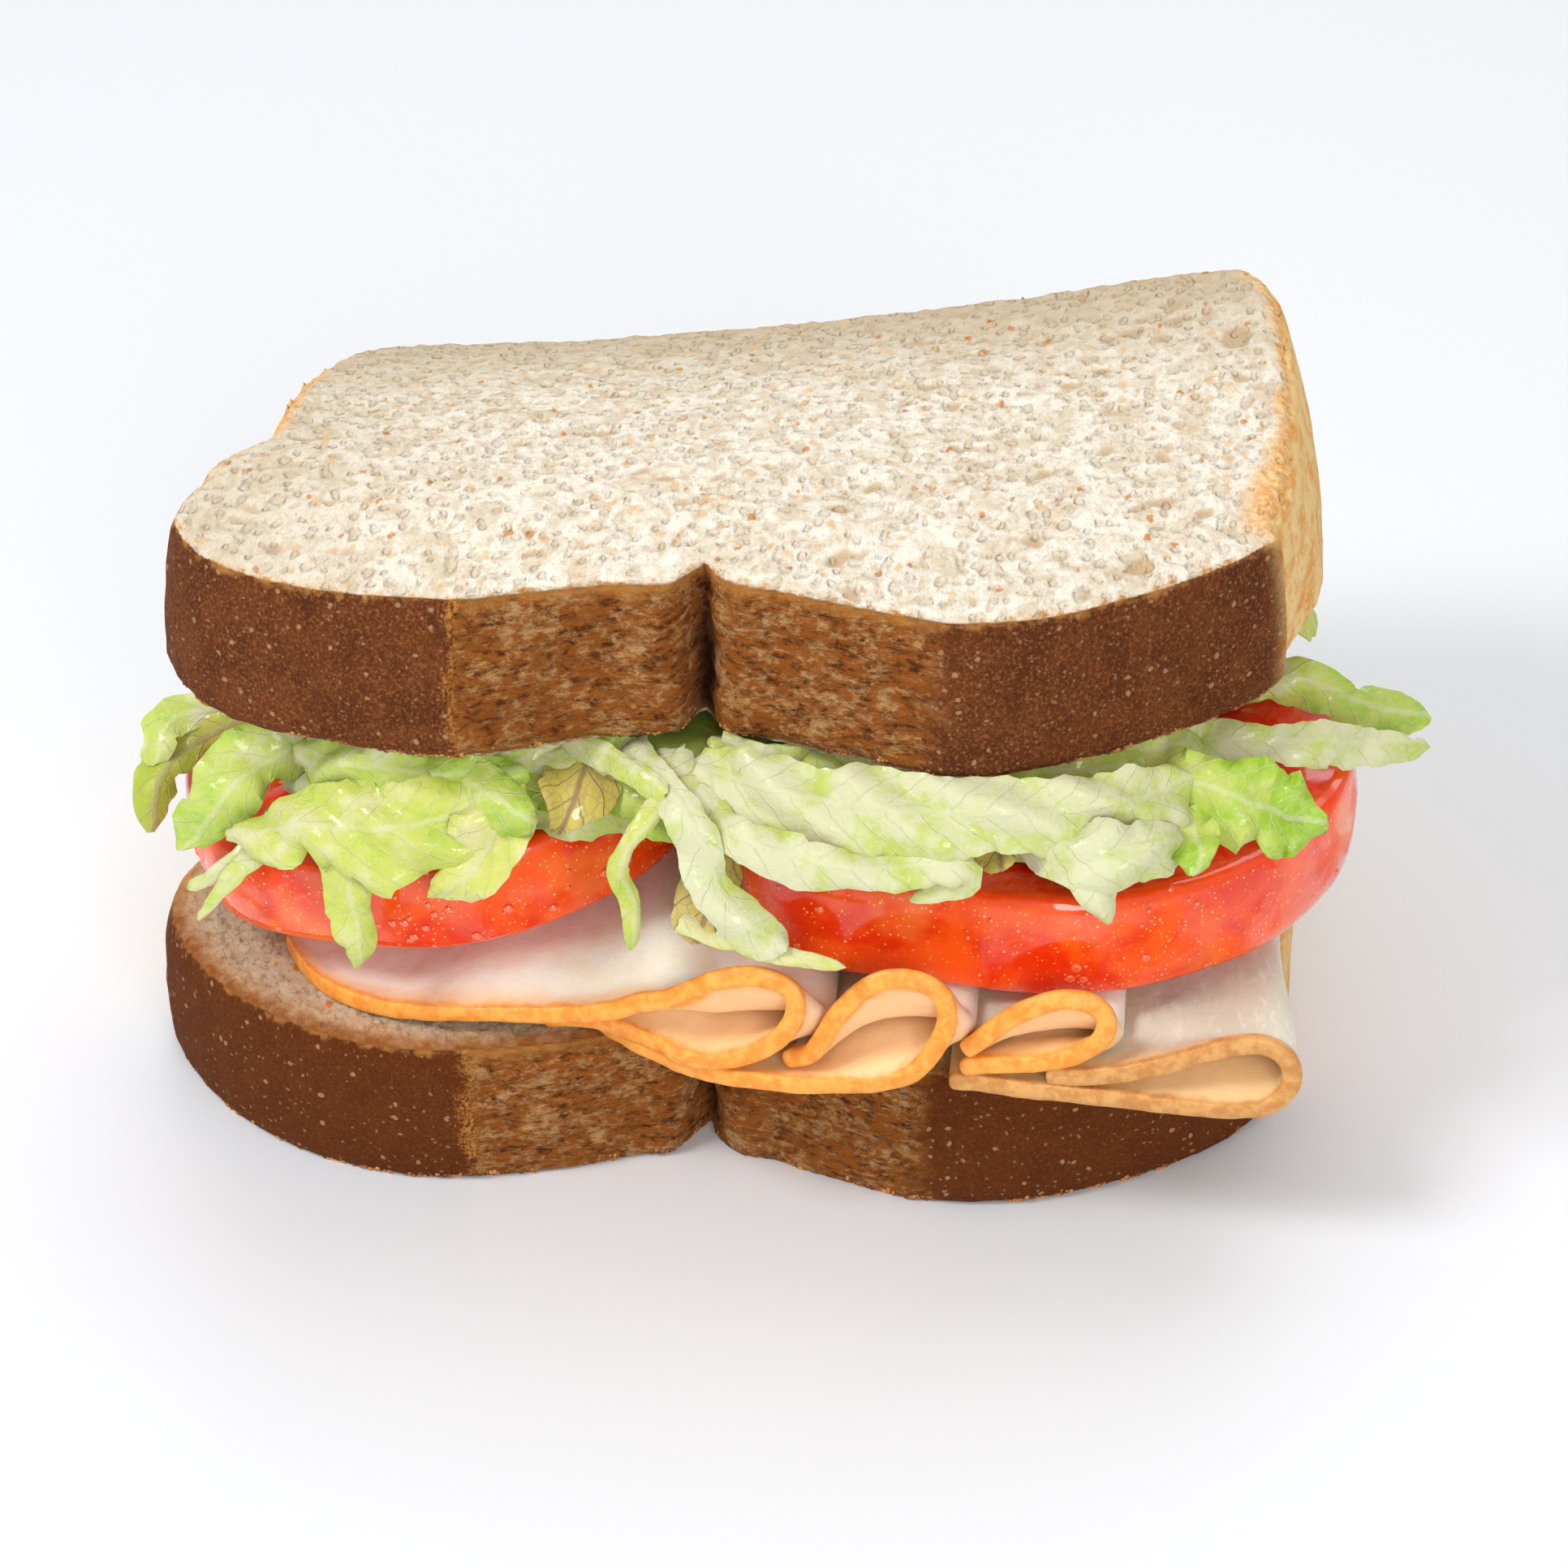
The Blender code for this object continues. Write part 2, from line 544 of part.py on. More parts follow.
def lettuce_heap(solids, collection, material):
    """Make the heap: its core with every torn piece that shows fused on."""
    core = lettuce_core(collection, material)
    pieces = make_collection("lettuce_pieces")
    rng = random.Random(LEAF_SEED)
    spines = [(spine, FRONT_FACING) for spine in FRONT_LEAVES.values()] + edge_leaves(rng)
    for index, (spine, facing) in enumerate(spines):
        rows = leaf_sheet(spine, facing, rng.uniform(0, 6))
        rows = settle(rows, solids, LEAF_THICKNESS / 2 + 2 * CLEARANCE)
        leaf_object(f"leaf_{index}", rows, pieces, material)
    union = core.modifiers.new("torn pieces", "BOOLEAN")
    union.operation = "UNION"
    union.operand_type = "COLLECTION"
    union.collection = pieces
    union.solver = "EXACT"
    union.use_self = True
    freeze(core)
    for piece in list(pieces.objects):
        bpy.data.objects.remove(piece, do_unlink=True)
    bpy.data.collections.remove(pieces)
    outer_shell_only(core)
    return core


def shade(item):
    """Shade a piece smooth, with its cut edges sharp."""
    item.data.shade_smooth()
    item.data.set_sharp_from_angle(angle=math.radians(40))


def build_sandwich():
    """Build every piece of the sandwich, from the plate up."""
    clear_scene()
    food = make_collection("turkey_sandwich")
    bread = make_material("wheat_bread", (0.62, 0.44, 0.27), 0.9)
    lower_bread = make_material("wheat_bread_lower", (0.56, 0.37, 0.22), 0.9)
    turkey = make_material("turkey", (0.86, 0.62, 0.45), 0.45)
    tomato = make_material("tomato", (0.72, 0.1, 0.04), 0.25)
    lettuce = make_material("lettuce", (0.62, 0.72, 0.3), 0.4)

    slices = [
        bread_slice("bread_bottom", BOTTOM_SLICE, BOTTOM_WALL, 0.0, BOTTOM_SLICE_THICKNESS, False, food,
                    lower_bread),
        bread_slice("bread_top", TOP_SLICE, TOP_WALL, TOP_SLICE_UNDERSIDE, TOP_SLICE_THICKNESS, True, food,
                    bread),
    ]
    folds = [turkey_slice(name, *fold, food, turkey) for name, fold in TURKEY_FOLDS.items()]
    tomatoes = [
        tomato_slice("tomato_left", (28.0, 31.6, 31.8), (math.radians(-90), 0.2),
                     (LEFT_TOMATO_X, -12.2, LEFT_TOMATO_BASE), LEFT_TOMATO_THICKNESS,
                     LEFT_TOMATO_ROLL, food, tomato),
        tomato_slice("tomato_right", (33.6, 31.0, 32.2), (math.radians(-140), 2.2),
                     (33.8, -13.4, RIGHT_TOMATO_BASE), RIGHT_TOMATO_THICKNESS, 0.0, food, tomato),
    ]
    bpy.context.view_layer.update()
    solids = [solid_tree(item) for item in (*slices, *tomatoes, *folds)]
    heap = lettuce_heap(solids, food, lettuce)
    for item in (*slices, *folds, *tomatoes, heap):
        shade(item)


build_sandwich()
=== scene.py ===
import math
import random

import bmesh
import bpy
import numpy as np
from mathutils import Euler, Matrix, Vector, noise
from mathutils.bvhtree import BVHTree
from mathutils.kdtree import KDTree


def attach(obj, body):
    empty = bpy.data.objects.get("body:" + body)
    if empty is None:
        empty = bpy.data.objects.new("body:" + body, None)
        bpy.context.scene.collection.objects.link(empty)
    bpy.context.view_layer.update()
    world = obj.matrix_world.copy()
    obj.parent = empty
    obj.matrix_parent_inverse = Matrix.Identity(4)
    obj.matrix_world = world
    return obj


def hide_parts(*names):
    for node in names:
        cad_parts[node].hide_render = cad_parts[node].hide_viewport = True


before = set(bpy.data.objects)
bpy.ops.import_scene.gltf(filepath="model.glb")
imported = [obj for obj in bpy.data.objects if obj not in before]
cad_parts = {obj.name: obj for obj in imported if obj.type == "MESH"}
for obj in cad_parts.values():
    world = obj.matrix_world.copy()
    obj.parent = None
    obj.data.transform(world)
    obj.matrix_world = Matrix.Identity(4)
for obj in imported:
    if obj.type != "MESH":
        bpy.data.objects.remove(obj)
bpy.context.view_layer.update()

# The table, the light and the camera.
# The sandwich stands on a plain pale surface under large soft lamps, the strongest of them over its
# left shoulder, and the camera looks down on its front as the photograph does.
MM = 0.001
CAMERA_PLACE = Vector((44.6, -449.92, 309.4)) * MM
CAMERA_AIM = Vector((6.38, -13.03, 30.0)) * MM
CAMERA_LENS = 110.0
LAMPS = {
    "key_lamp": ((-0.42, -0.30, 0.62), 0.26, 3.4),
    "top_lamp": ((0.10, 0.50, 0.80), 0.80, 3.9),
    "front_lamp": ((0.50, -1.50, 0.70), 0.8, 14.0),
}
LAMP_AIM = Vector((0.0, -0.01, 0.035))
SKY_STRENGTH = 0.44


def screen_colour(red, green, blue):
    """Turn a colour as a screen shows it, 0 to 255, into the linear light that Blender works in."""
    linear = []
    for value in (red, green, blue):
        share = value / 255
        linear.append(share / 12.92 if share <= 0.04045 else ((share + 0.055) / 1.055) ** 2.4)
    return (*linear, 1.0)


def add_to_scene(name, mesh):
    """Put a mesh into the scene as an object at the origin."""
    made = bpy.data.objects.new(name, mesh)
    bpy.context.scene.collection.objects.link(made)
    return made


table_mesh = bpy.data.meshes.new("table")
table_half = 2.5
table_mesh.from_pydata([(-table_half, -table_half, 0), (table_half, -table_half, 0),
                        (table_half, table_half, 0), (-table_half, table_half, 0)], [], [(0, 1, 2, 3)])
table = add_to_scene("table", table_mesh)
table_finish = bpy.data.materials.new("pale_table")
table_finish.use_nodes = True
table_finish.node_tree.nodes["Principled BSDF"].inputs["Base Color"].default_value = (0.78, 0.80, 0.83, 1)
table_finish.node_tree.nodes["Principled BSDF"].inputs["Roughness"].default_value = 0.45
table_mesh.materials.append(table_finish)

for lamp_name, (lamp_place, lamp_size, lamp_power) in LAMPS.items():
    lamp_data = bpy.data.lights.new(lamp_name, "AREA")
    lamp_data.energy = lamp_power
    lamp_data.size = lamp_size
    lamp = bpy.data.objects.new(lamp_name, lamp_data)
    lamp.location = lamp_place
    lamp.rotation_euler = (LAMP_AIM - Vector(lamp_place)).to_track_quat("-Z", "Y").to_euler()
    bpy.context.scene.collection.objects.link(lamp)

sky = bpy.data.worlds.new("soft_sky")
sky.use_nodes = True
sky.node_tree.nodes["Background"].inputs["Color"].default_value = (1, 1, 1, 1)
sky.node_tree.nodes["Background"].inputs["Strength"].default_value = SKY_STRENGTH
bpy.context.scene.world = sky
bpy.context.scene.view_settings.view_transform = "Standard"

camera_data = bpy.data.cameras.new("camera")
camera_data.lens = CAMERA_LENS
camera_data.sensor_width = 36.0
camera_data.clip_start = 0.01
camera = bpy.data.objects.new("camera", camera_data)
camera.location = CAMERA_PLACE
camera.rotation_euler = (CAMERA_AIM - CAMERA_PLACE).to_track_quat("-Z", "Y").to_euler()
bpy.context.scene.collection.objects.link(camera)
bpy.context.scene.camera = camera

# The two slices of bread.
# Soft wheat bread, sliced from a pan loaf: an open cream crumb with bran in it, inside a thin baked
# crust that is dark on the crown at the front, torn beside the split, and golden where the pan was.
BREAD_VOXEL = 0.58 * MM
BREAD_SOFTEN = 4
CRUMB_PORES = 900
PORE_RADII = (0.5, 1.3)
PORE_DEPTH = 0.35
WIDE_PORES = 26
WIDE_PORE_RADII = (0.9, 2.0)
WIDE_PORES_FROM = 34
EDGE_KEPT_WHOLE = 1.6
BREAK_LEFT = -24.0
BREAK_RIGHT = 24.0
FRONT_FACE = (28, 32)
SPLIT_FACE = (33, 40)
PAN_RIGHT = (52, 56)
PAN_RIGHT_START = (-27, -22)
PAN_LEFT = (-50, -44)
PAN_LEFT_START = (-26, -8)
PAN_BACK = (36, 42)
WIDE_RIND_AT = -18
SPLIT_X = 0.3
SPLIT_DEPTH = 4.2
FRONT_LOBE = 1.2
PAN_ROUNDING = 0.9
TORN_STEP = 0.4
CREAM = screen_colour(253, 246, 230)
CREAM_SHADE = screen_colour(230, 214, 188)
# Painted shade in the crumb's pores and between its small lumps.
PAINTED_PORE_SHADE = screen_colour(208, 178, 138)
# Painted shade for the crumb towards the back and the left, where the light falls off.
PAINTED_FALLOFF_SHADE = screen_colour(200, 178, 144)
# The lower slice's crumb: a moister tan, darkened with painted shade from the fillings above it.
LOWER_TAN_AND_PAINTED_SHADE = screen_colour(188, 164, 128)
BRAN = screen_colour(208, 134, 60)
BRAN_PALE = screen_colour(234, 188, 130)
EDGE_GOLD = screen_colour(204, 142, 74)
CRUST_DARK = screen_colour(78, 37, 16)
CRUST = screen_colour(114, 60, 26)
CRUST_LIGHT = screen_colour(158, 98, 54)
CRUST_LOWER = screen_colour(96, 42, 2)
LOWER_EDGE = screen_colour(146, 78, 16)
# Painted shade in the lower slice's pores.
LOWER_PAINTED_PORE_SHADE = screen_colour(140, 112, 86)
LOWER_BAND = screen_colour(214, 168, 112)
PAN_GOLD = screen_colour(255, 218, 150)
PAN_BROWN = screen_colour(244, 166, 82)
PAN_DOT = screen_colour(255, 232, 180)
TORN_DARK = screen_colour(90, 44, 16)
TORN_MID = screen_colour(172, 98, 36)
TORN_LIGHT = screen_colour(222, 174, 116)
TORN_GOLD = screen_colour(210, 140, 64)
# Painted shade deep in the split of the crust.
PAINTED_CLEFT_SHADE = screen_colour(44, 20, 8)
SPECK = screen_colour(204, 160, 114)


def eased(value, low, high):
    """Blend smoothly from 0 at one value to 1 at another, for numbers and arrays alike."""
    share = np.clip((value - low) / (high - low), 0.0, 1.0)
    return share * share * (3 - 2 * share)


class Finish:
    """One food's surface: a Principled material, and short calls for the patterns that feed it."""

    def __init__(self, name, roughness, glow=0.0, glow_reach=(1.0, 0.6, 0.4)):
        self.material = bpy.data.materials.new(name)
        self.material.use_nodes = True
        self.tree = self.material.node_tree
        self.shader = self.tree.nodes["Principled BSDF"]
        self.shader.inputs["Roughness"].default_value = roughness
        self.shader.inputs["Subsurface Weight"].default_value = glow
        self.shader.inputs["Subsurface Radius"].default_value = glow_reach
        self.shader.inputs["Subsurface Scale"].default_value = MM
        self.place = self.add("ShaderNodeTexCoord").outputs["Object"]

    def add(self, kind, **settings):
        node = self.tree.nodes.new(kind)
        for key, value in settings.items():
            setattr(node, key, value)
        return node

    def feed(self, socket, source):
        """Set a socket to a value, or link it to another node's output."""
        if isinstance(source, bpy.types.NodeSocket):
            self.tree.links.new(source, socket)
        else:
            socket.default_value = source

    def mark(self, name):
        """A value that was stored on the mesh."""
        return self.add("ShaderNodeAttribute", attribute_name=name).outputs["Fac"]

    def squeezed(self, scale, source=None):
        """Object coordinates, stretched so that a pattern runs longer one way than another."""
        node = self.add("ShaderNodeMapping")
        self.feed(node.inputs["Vector"], source or self.place)
        node.inputs["Scale"].default_value = scale
        return node.outputs["Vector"]

    def warped(self, size, reach, source=None):
        """Object coordinates, shaken so that a pattern of cells loses its straight edges."""
        swirl = self.add("ShaderNodeTexNoise")
        self.feed(swirl.inputs["Vector"], source or self.place)
        swirl.inputs["Scale"].default_value = 1 / (size * MM)
        node = self.add("ShaderNodeVectorMath", operation="MULTIPLY_ADD")
        self.feed(node.inputs[0], swirl.outputs["Color"])
        node.inputs[1].default_value = (reach * MM, reach * MM, reach * MM)
        self.feed(node.inputs[2], source or self.place)
        return node.outputs["Vector"]

    def grain(self, size, detail=3.0, rough=0.55, bend=0.0, place=None):
        """Cloudy noise with features of about the given size in millimetres."""
        node = self.add("ShaderNodeTexNoise")
        self.feed(node.inputs["Vector"], place or self.place)
        node.inputs["Scale"].default_value = 1 / (size * MM)
        node.inputs["Detail"].default_value = detail
        node.inputs["Roughness"].default_value = rough
        node.inputs["Distortion"].default_value = bend
        return node.outputs["Fac"]

    def cells(self, size, feature, place):
        """Cells of about the given size in millimetres."""
        node = self.add("ShaderNodeTexVoronoi", feature=feature)
        self.feed(node.inputs["Vector"], place)
        node.inputs["Scale"].default_value = 1 / (size * MM)
        return node.outputs["Distance"]

    def some_cells(self, size, near, far, kept, place=None):
        """Spots in some of the cells only, the share that is kept given from 0 to 1."""
        node = self.add("ShaderNodeTexVoronoi")
        self.feed(node.inputs["Vector"], place or self.place)
        node.inputs["Scale"].default_value = 1 / (size * MM)
        draw = self.add("ShaderNodeSeparateColor")
        self.feed(draw.inputs[0], node.outputs["Color"])
        chosen = self.between(draw.outputs[0], 1 - kept, 1.02 - kept)
        return self.sum("MULTIPLY", self.between(node.outputs["Distance"], far, near), chosen)

    def sum(self, operation, first, second=0.0):
        node = self.add("ShaderNodeMath", operation=operation)
        self.feed(node.inputs[0], first)
        self.feed(node.inputs[1], second)
        return node.outputs[0]

    def times(self, first, second):
        return self.sum("MULTIPLY", first, second)

    def between(self, value, low, high, start=0.0, end=1.0):
        """Carry a value smoothly from one range to another."""
        node = self.add("ShaderNodeMapRange", interpolation_type="SMOOTHSTEP")
        for socket, source in zip(node.inputs, (value, low, high, start, end)):
            self.feed(socket, source)
        return node.outputs[0]

    def blend(self, amount, first, second):
        """Blend two colours."""
        node = self.add("ShaderNodeMix", data_type="RGBA")
        self.feed(node.inputs[0], amount)
        self.feed(node.inputs[6], first)
        self.feed(node.inputs[7], second)
        return node.outputs[2]

    def coated(self, colour, *coats):
        """Lay coats over a colour, each given as how far it covers and its own colour."""
        for amount, over in coats:
            colour = self.blend(amount, colour, over)
        return colour

    def relief(self, height, depth, under=None):
        """A bump that stands the given number of millimetres high."""
        node = self.add("ShaderNodeBump")
        node.inputs["Distance"].default_value = depth * MM
        self.feed(node.inputs["Height"], height)
        if under is not None:
            self.feed(node.inputs["Normal"], under)
        return node.outputs["Normal"]

    def colour(self, source):
        self.feed(self.shader.inputs["Base Color"], source)

    def set(self, **values):
        """Set the shader's own sockets, named with underscores for spaces."""
        for key, value in values.items():
            self.feed(self.shader.inputs[key.replace("_", " ")], value)


def mesh_points(mesh):
    """Vertices and their normals as arrays, in millimetres."""
    count = len(mesh.vertices)
    points = np.empty(count * 3)
    normals = np.empty(count * 3)
    mesh.vertices.foreach_get("co", points)
    mesh.vertex_normals.foreach_get("vector", normals)
    return points.reshape(-1, 3) / MM, normals.reshape(-1, 3)


def store_mark(mesh, name, values):
    """Keep one number for each vertex, for the material to read."""
    mark = mesh.attributes.new(name, "FLOAT", "POINT")
    mark.data.foreach_set("value", np.asarray(values, dtype=np.float32))


def finished_mesh(item):
    """The plain mesh that an object's modifiers make."""
    bpy.context.view_layer.update()
    return bpy.data.meshes.new_from_object(item.evaluated_get(bpy.context.evaluated_depsgraph_get()))


def solid_copy(node):
    """A copy of a CAD node's mesh with its loose triangles joined."""
    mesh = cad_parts[node].data.copy()
    shape = bmesh.new()
    shape.from_mesh(mesh)
    bmesh.ops.remove_doubles(shape, verts=shape.verts[:], dist=0.01 * MM)
    shape.to_mesh(mesh)
    shape.free()
    for face_property in list(mesh.attributes):
        if face_property.name in ("sharp_face", "sharp_edge", "custom_normal"):
            mesh.attributes.remove(face_property)
    mesh.materials.clear()
    return mesh


def fine_skin(node, voxel, soften):
    """A CAD node's form as an even mesh of small faces, with its facets softened."""
    item = add_to_scene(node + "_skin", solid_copy(node))
    remesh = item.modifiers.new("even faces", "REMESH")
    remesh.mode = "VOXEL"
    remesh.voxel_size = voxel
    smooth = item.modifiers.new("soft facets", "SMOOTH")
    smooth.iterations = soften
    mesh = finished_mesh(item)
    bpy.data.objects.remove(item)
    return mesh


def noise_field(points, size, seed):
    """Noise from -1 to 1 at each point, with features of the given size in millimetres."""
    shift = Vector((seed * 31.7, seed * 17.3, seed * 11.9))
    return np.array([noise.noise(Vector(point) / size + shift) for point in points])


def point_tree(points, chosen):
    """A search tree over some of the points."""
    tree = KDTree(len(chosen))
    for index in chosen:
        tree.insert(Vector(points[index]), int(index))
    tree.balance()
    return tree


def cut_pores(points, depth, tree, rng, candidates, count, radii):
    """Press round pores into a crumb face, each deepest in its middle."""
    smallest, largest = radii
    for _ in range(count):
        centre = points[candidates[rng.randrange(len(candidates))]]
        radius = smallest + (largest - smallest) * rng.random() ** 3.2
        turn = rng.uniform(0, math.pi)
        long_way = np.array([math.cos(turn), math.sin(turn), 0.0])
        stretch = rng.uniform(1.0, 1.9)
        for _, index, _ in tree.find_range(Vector(centre), radius * stretch):
            offset = points[index] - centre
            along = offset @ long_way
            away = math.sqrt(max(0.0, offset @ offset - along * along + (along / stretch) ** 2))
            if away < radius:
                dip = PORE_DEPTH * radius * math.sqrt(1 - (away / radius) ** 2)
                depth[index] = max(depth[index], dip)


def bread_piece(name, node, seed, shade):
    """Dress one slice: crumb pores, a torn front with its deep split, and a rounded pan edge."""
    mesh = fine_skin(node, BREAD_VOXEL, BREAD_SOFTEN)
    points, normals = mesh_points(mesh)
    rng = random.Random(seed)
    x, y, z = points.T
    facing_up = normals[:, 2]
    crumb = np.where(facing_up > 0, eased(facing_up, 0.5, 0.8), eased(-facing_up, 0.85, 0.96))
    is_crumb = crumb >= 0.5
    wall_tree = point_tree(points, np.flatnonzero(~is_crumb))
    crumb_tree = point_tree(points, np.flatnonzero(is_crumb))
    whole_tree = point_tree(points, range(len(points)))
    from_edge = np.empty(len(points))
    under_edge = np.empty(len(points))
    for index, point in enumerate(points):
        other = wall_tree if is_crumb[index] else crumb_tree
        place, _, from_edge[index] = other.find(Vector(point))
        under_edge[index] = normals[index, 2] > 0 if is_crumb[index] else place.z > point[2]
    pit = np.zeros(len(points))
    inner = is_crumb & (from_edge > EDGE_KEPT_WHOLE)
    cut_pores(points, pit, whole_tree, rng, np.flatnonzero(inner), CRUMB_PORES, PORE_RADII)
    inner = is_crumb & (from_edge > 3.0) & (x > WIDE_PORES_FROM)
    cut_pores(points, pit, whole_tree, rng, np.flatnonzero(inner), WIDE_PORES, WIDE_PORE_RADII)

    ragged = noise_field(points, 3.4, seed + 5)
    middle = noise_field(points, 2.4, seed + 1)
    fine = noise_field(points, 1.2, seed + 2)
    coarse = noise_field(points, 9.0, seed)
    fibres = noise_field(points * np.array([0.3, 0.3, 1.0]), 1.3, seed + 3)
    lumps = noise_field(points * np.array([0.55, 0.55, 1.0]), 2.2, seed + 4)

    front = eased(-y, *FRONT_FACE)
    shaken = x + 1.3 * ragged + 0.5 * fine
    torn = eased(shaken, BREAK_LEFT - 0.3, BREAK_LEFT + 0.4)
    torn *= 1 - eased(x + 2.2 * ragged + 1.0 * fine, BREAK_RIGHT - 2.5, BREAK_RIGHT + 2.0)
    torn *= front * (1 - crumb)
    pan_right = eased(x, *PAN_RIGHT) * eased(y, *PAN_RIGHT_START)
    pan_left = (1 - eased(x, *PAN_LEFT)) * eased(y, *PAN_LEFT_START)
    pan = np.maximum(np.maximum(pan_right, pan_left), eased(y, *PAN_BACK))
    wide_rind = 1 + 1.3 * np.exp(-((y - WIDE_RIND_AT) / 15) ** 2) * (x > 0)
    rind = pan * (1 - eased((from_edge + 0.9 * ragged + 0.5 * fine) / wide_rind, 0.9, 2.4))

    height = crumb * (0.18 * coarse + 0.18 * middle + 0.2 * fine - pit)
    height += (1 - crumb) * (0.1 * coarse + 0.07 * middle + 0.04 * fine)
    height += torn * (0.4 * fibres + 0.36 * lumps - TORN_STEP)
    break_line = np.exp(-((shaken - BREAK_LEFT) / 0.6) ** 2) * front * (1 - crumb)
    height += 0.3 * break_line
    height += 0.14 * np.exp(-((from_edge - 0.3) / 0.7) ** 2) * crumb * (1 - pan)
    resting = eased(z, 0.0, 1.4) if node == "bread_bottom" else 1.0
    moved = points + normals * (height * resting)[:, None]
    moved[:, 2] -= PAN_ROUNDING * pan * under_edge * (1 - eased(from_edge, 0.0, 3.0)) ** 2

    wander = SPLIT_X + 0.35 * np.array([noise.noise(Vector((0.0, seed, value * 0.2))) for value in z])
    open_below = 1 - (z - z.min()) / (z.max() - z.min())
    beside_split = np.abs(x - wander)
    near_front = eased(-y, *SPLIT_FACE)
    slit = np.exp(-(beside_split / (0.6 + (0.9 * open_below if node == "bread_top" else 0.0))) ** 2)
    lobes = np.exp(-((beside_split - 3.6) / 2.4) ** 2)
    moved[:, 1] += near_front * (SPLIT_DEPTH * slit - FRONT_LOBE * lobes * (1 - crumb))
    mesh.vertices.foreach_set("co", (moved * MM).ravel())
    gilt = np.where(under_edge > 0.5, 1.0, 0.4 * (1 - shade))
    marks = {"crumb": crumb, "from_edge": from_edge, "pit": pit, "torn": torn, "pan": pan, "rind": rind,
             "cleft": slit * near_front, "gilt": gilt, "under_edge": under_edge, "break_line": break_line,
             "shade": np.full(len(points), shade)}
    for mark_name, values in marks.items():
        store_mark(mesh, mark_name, values)
    mesh.shade_smooth()
    return add_to_scene(name, mesh)


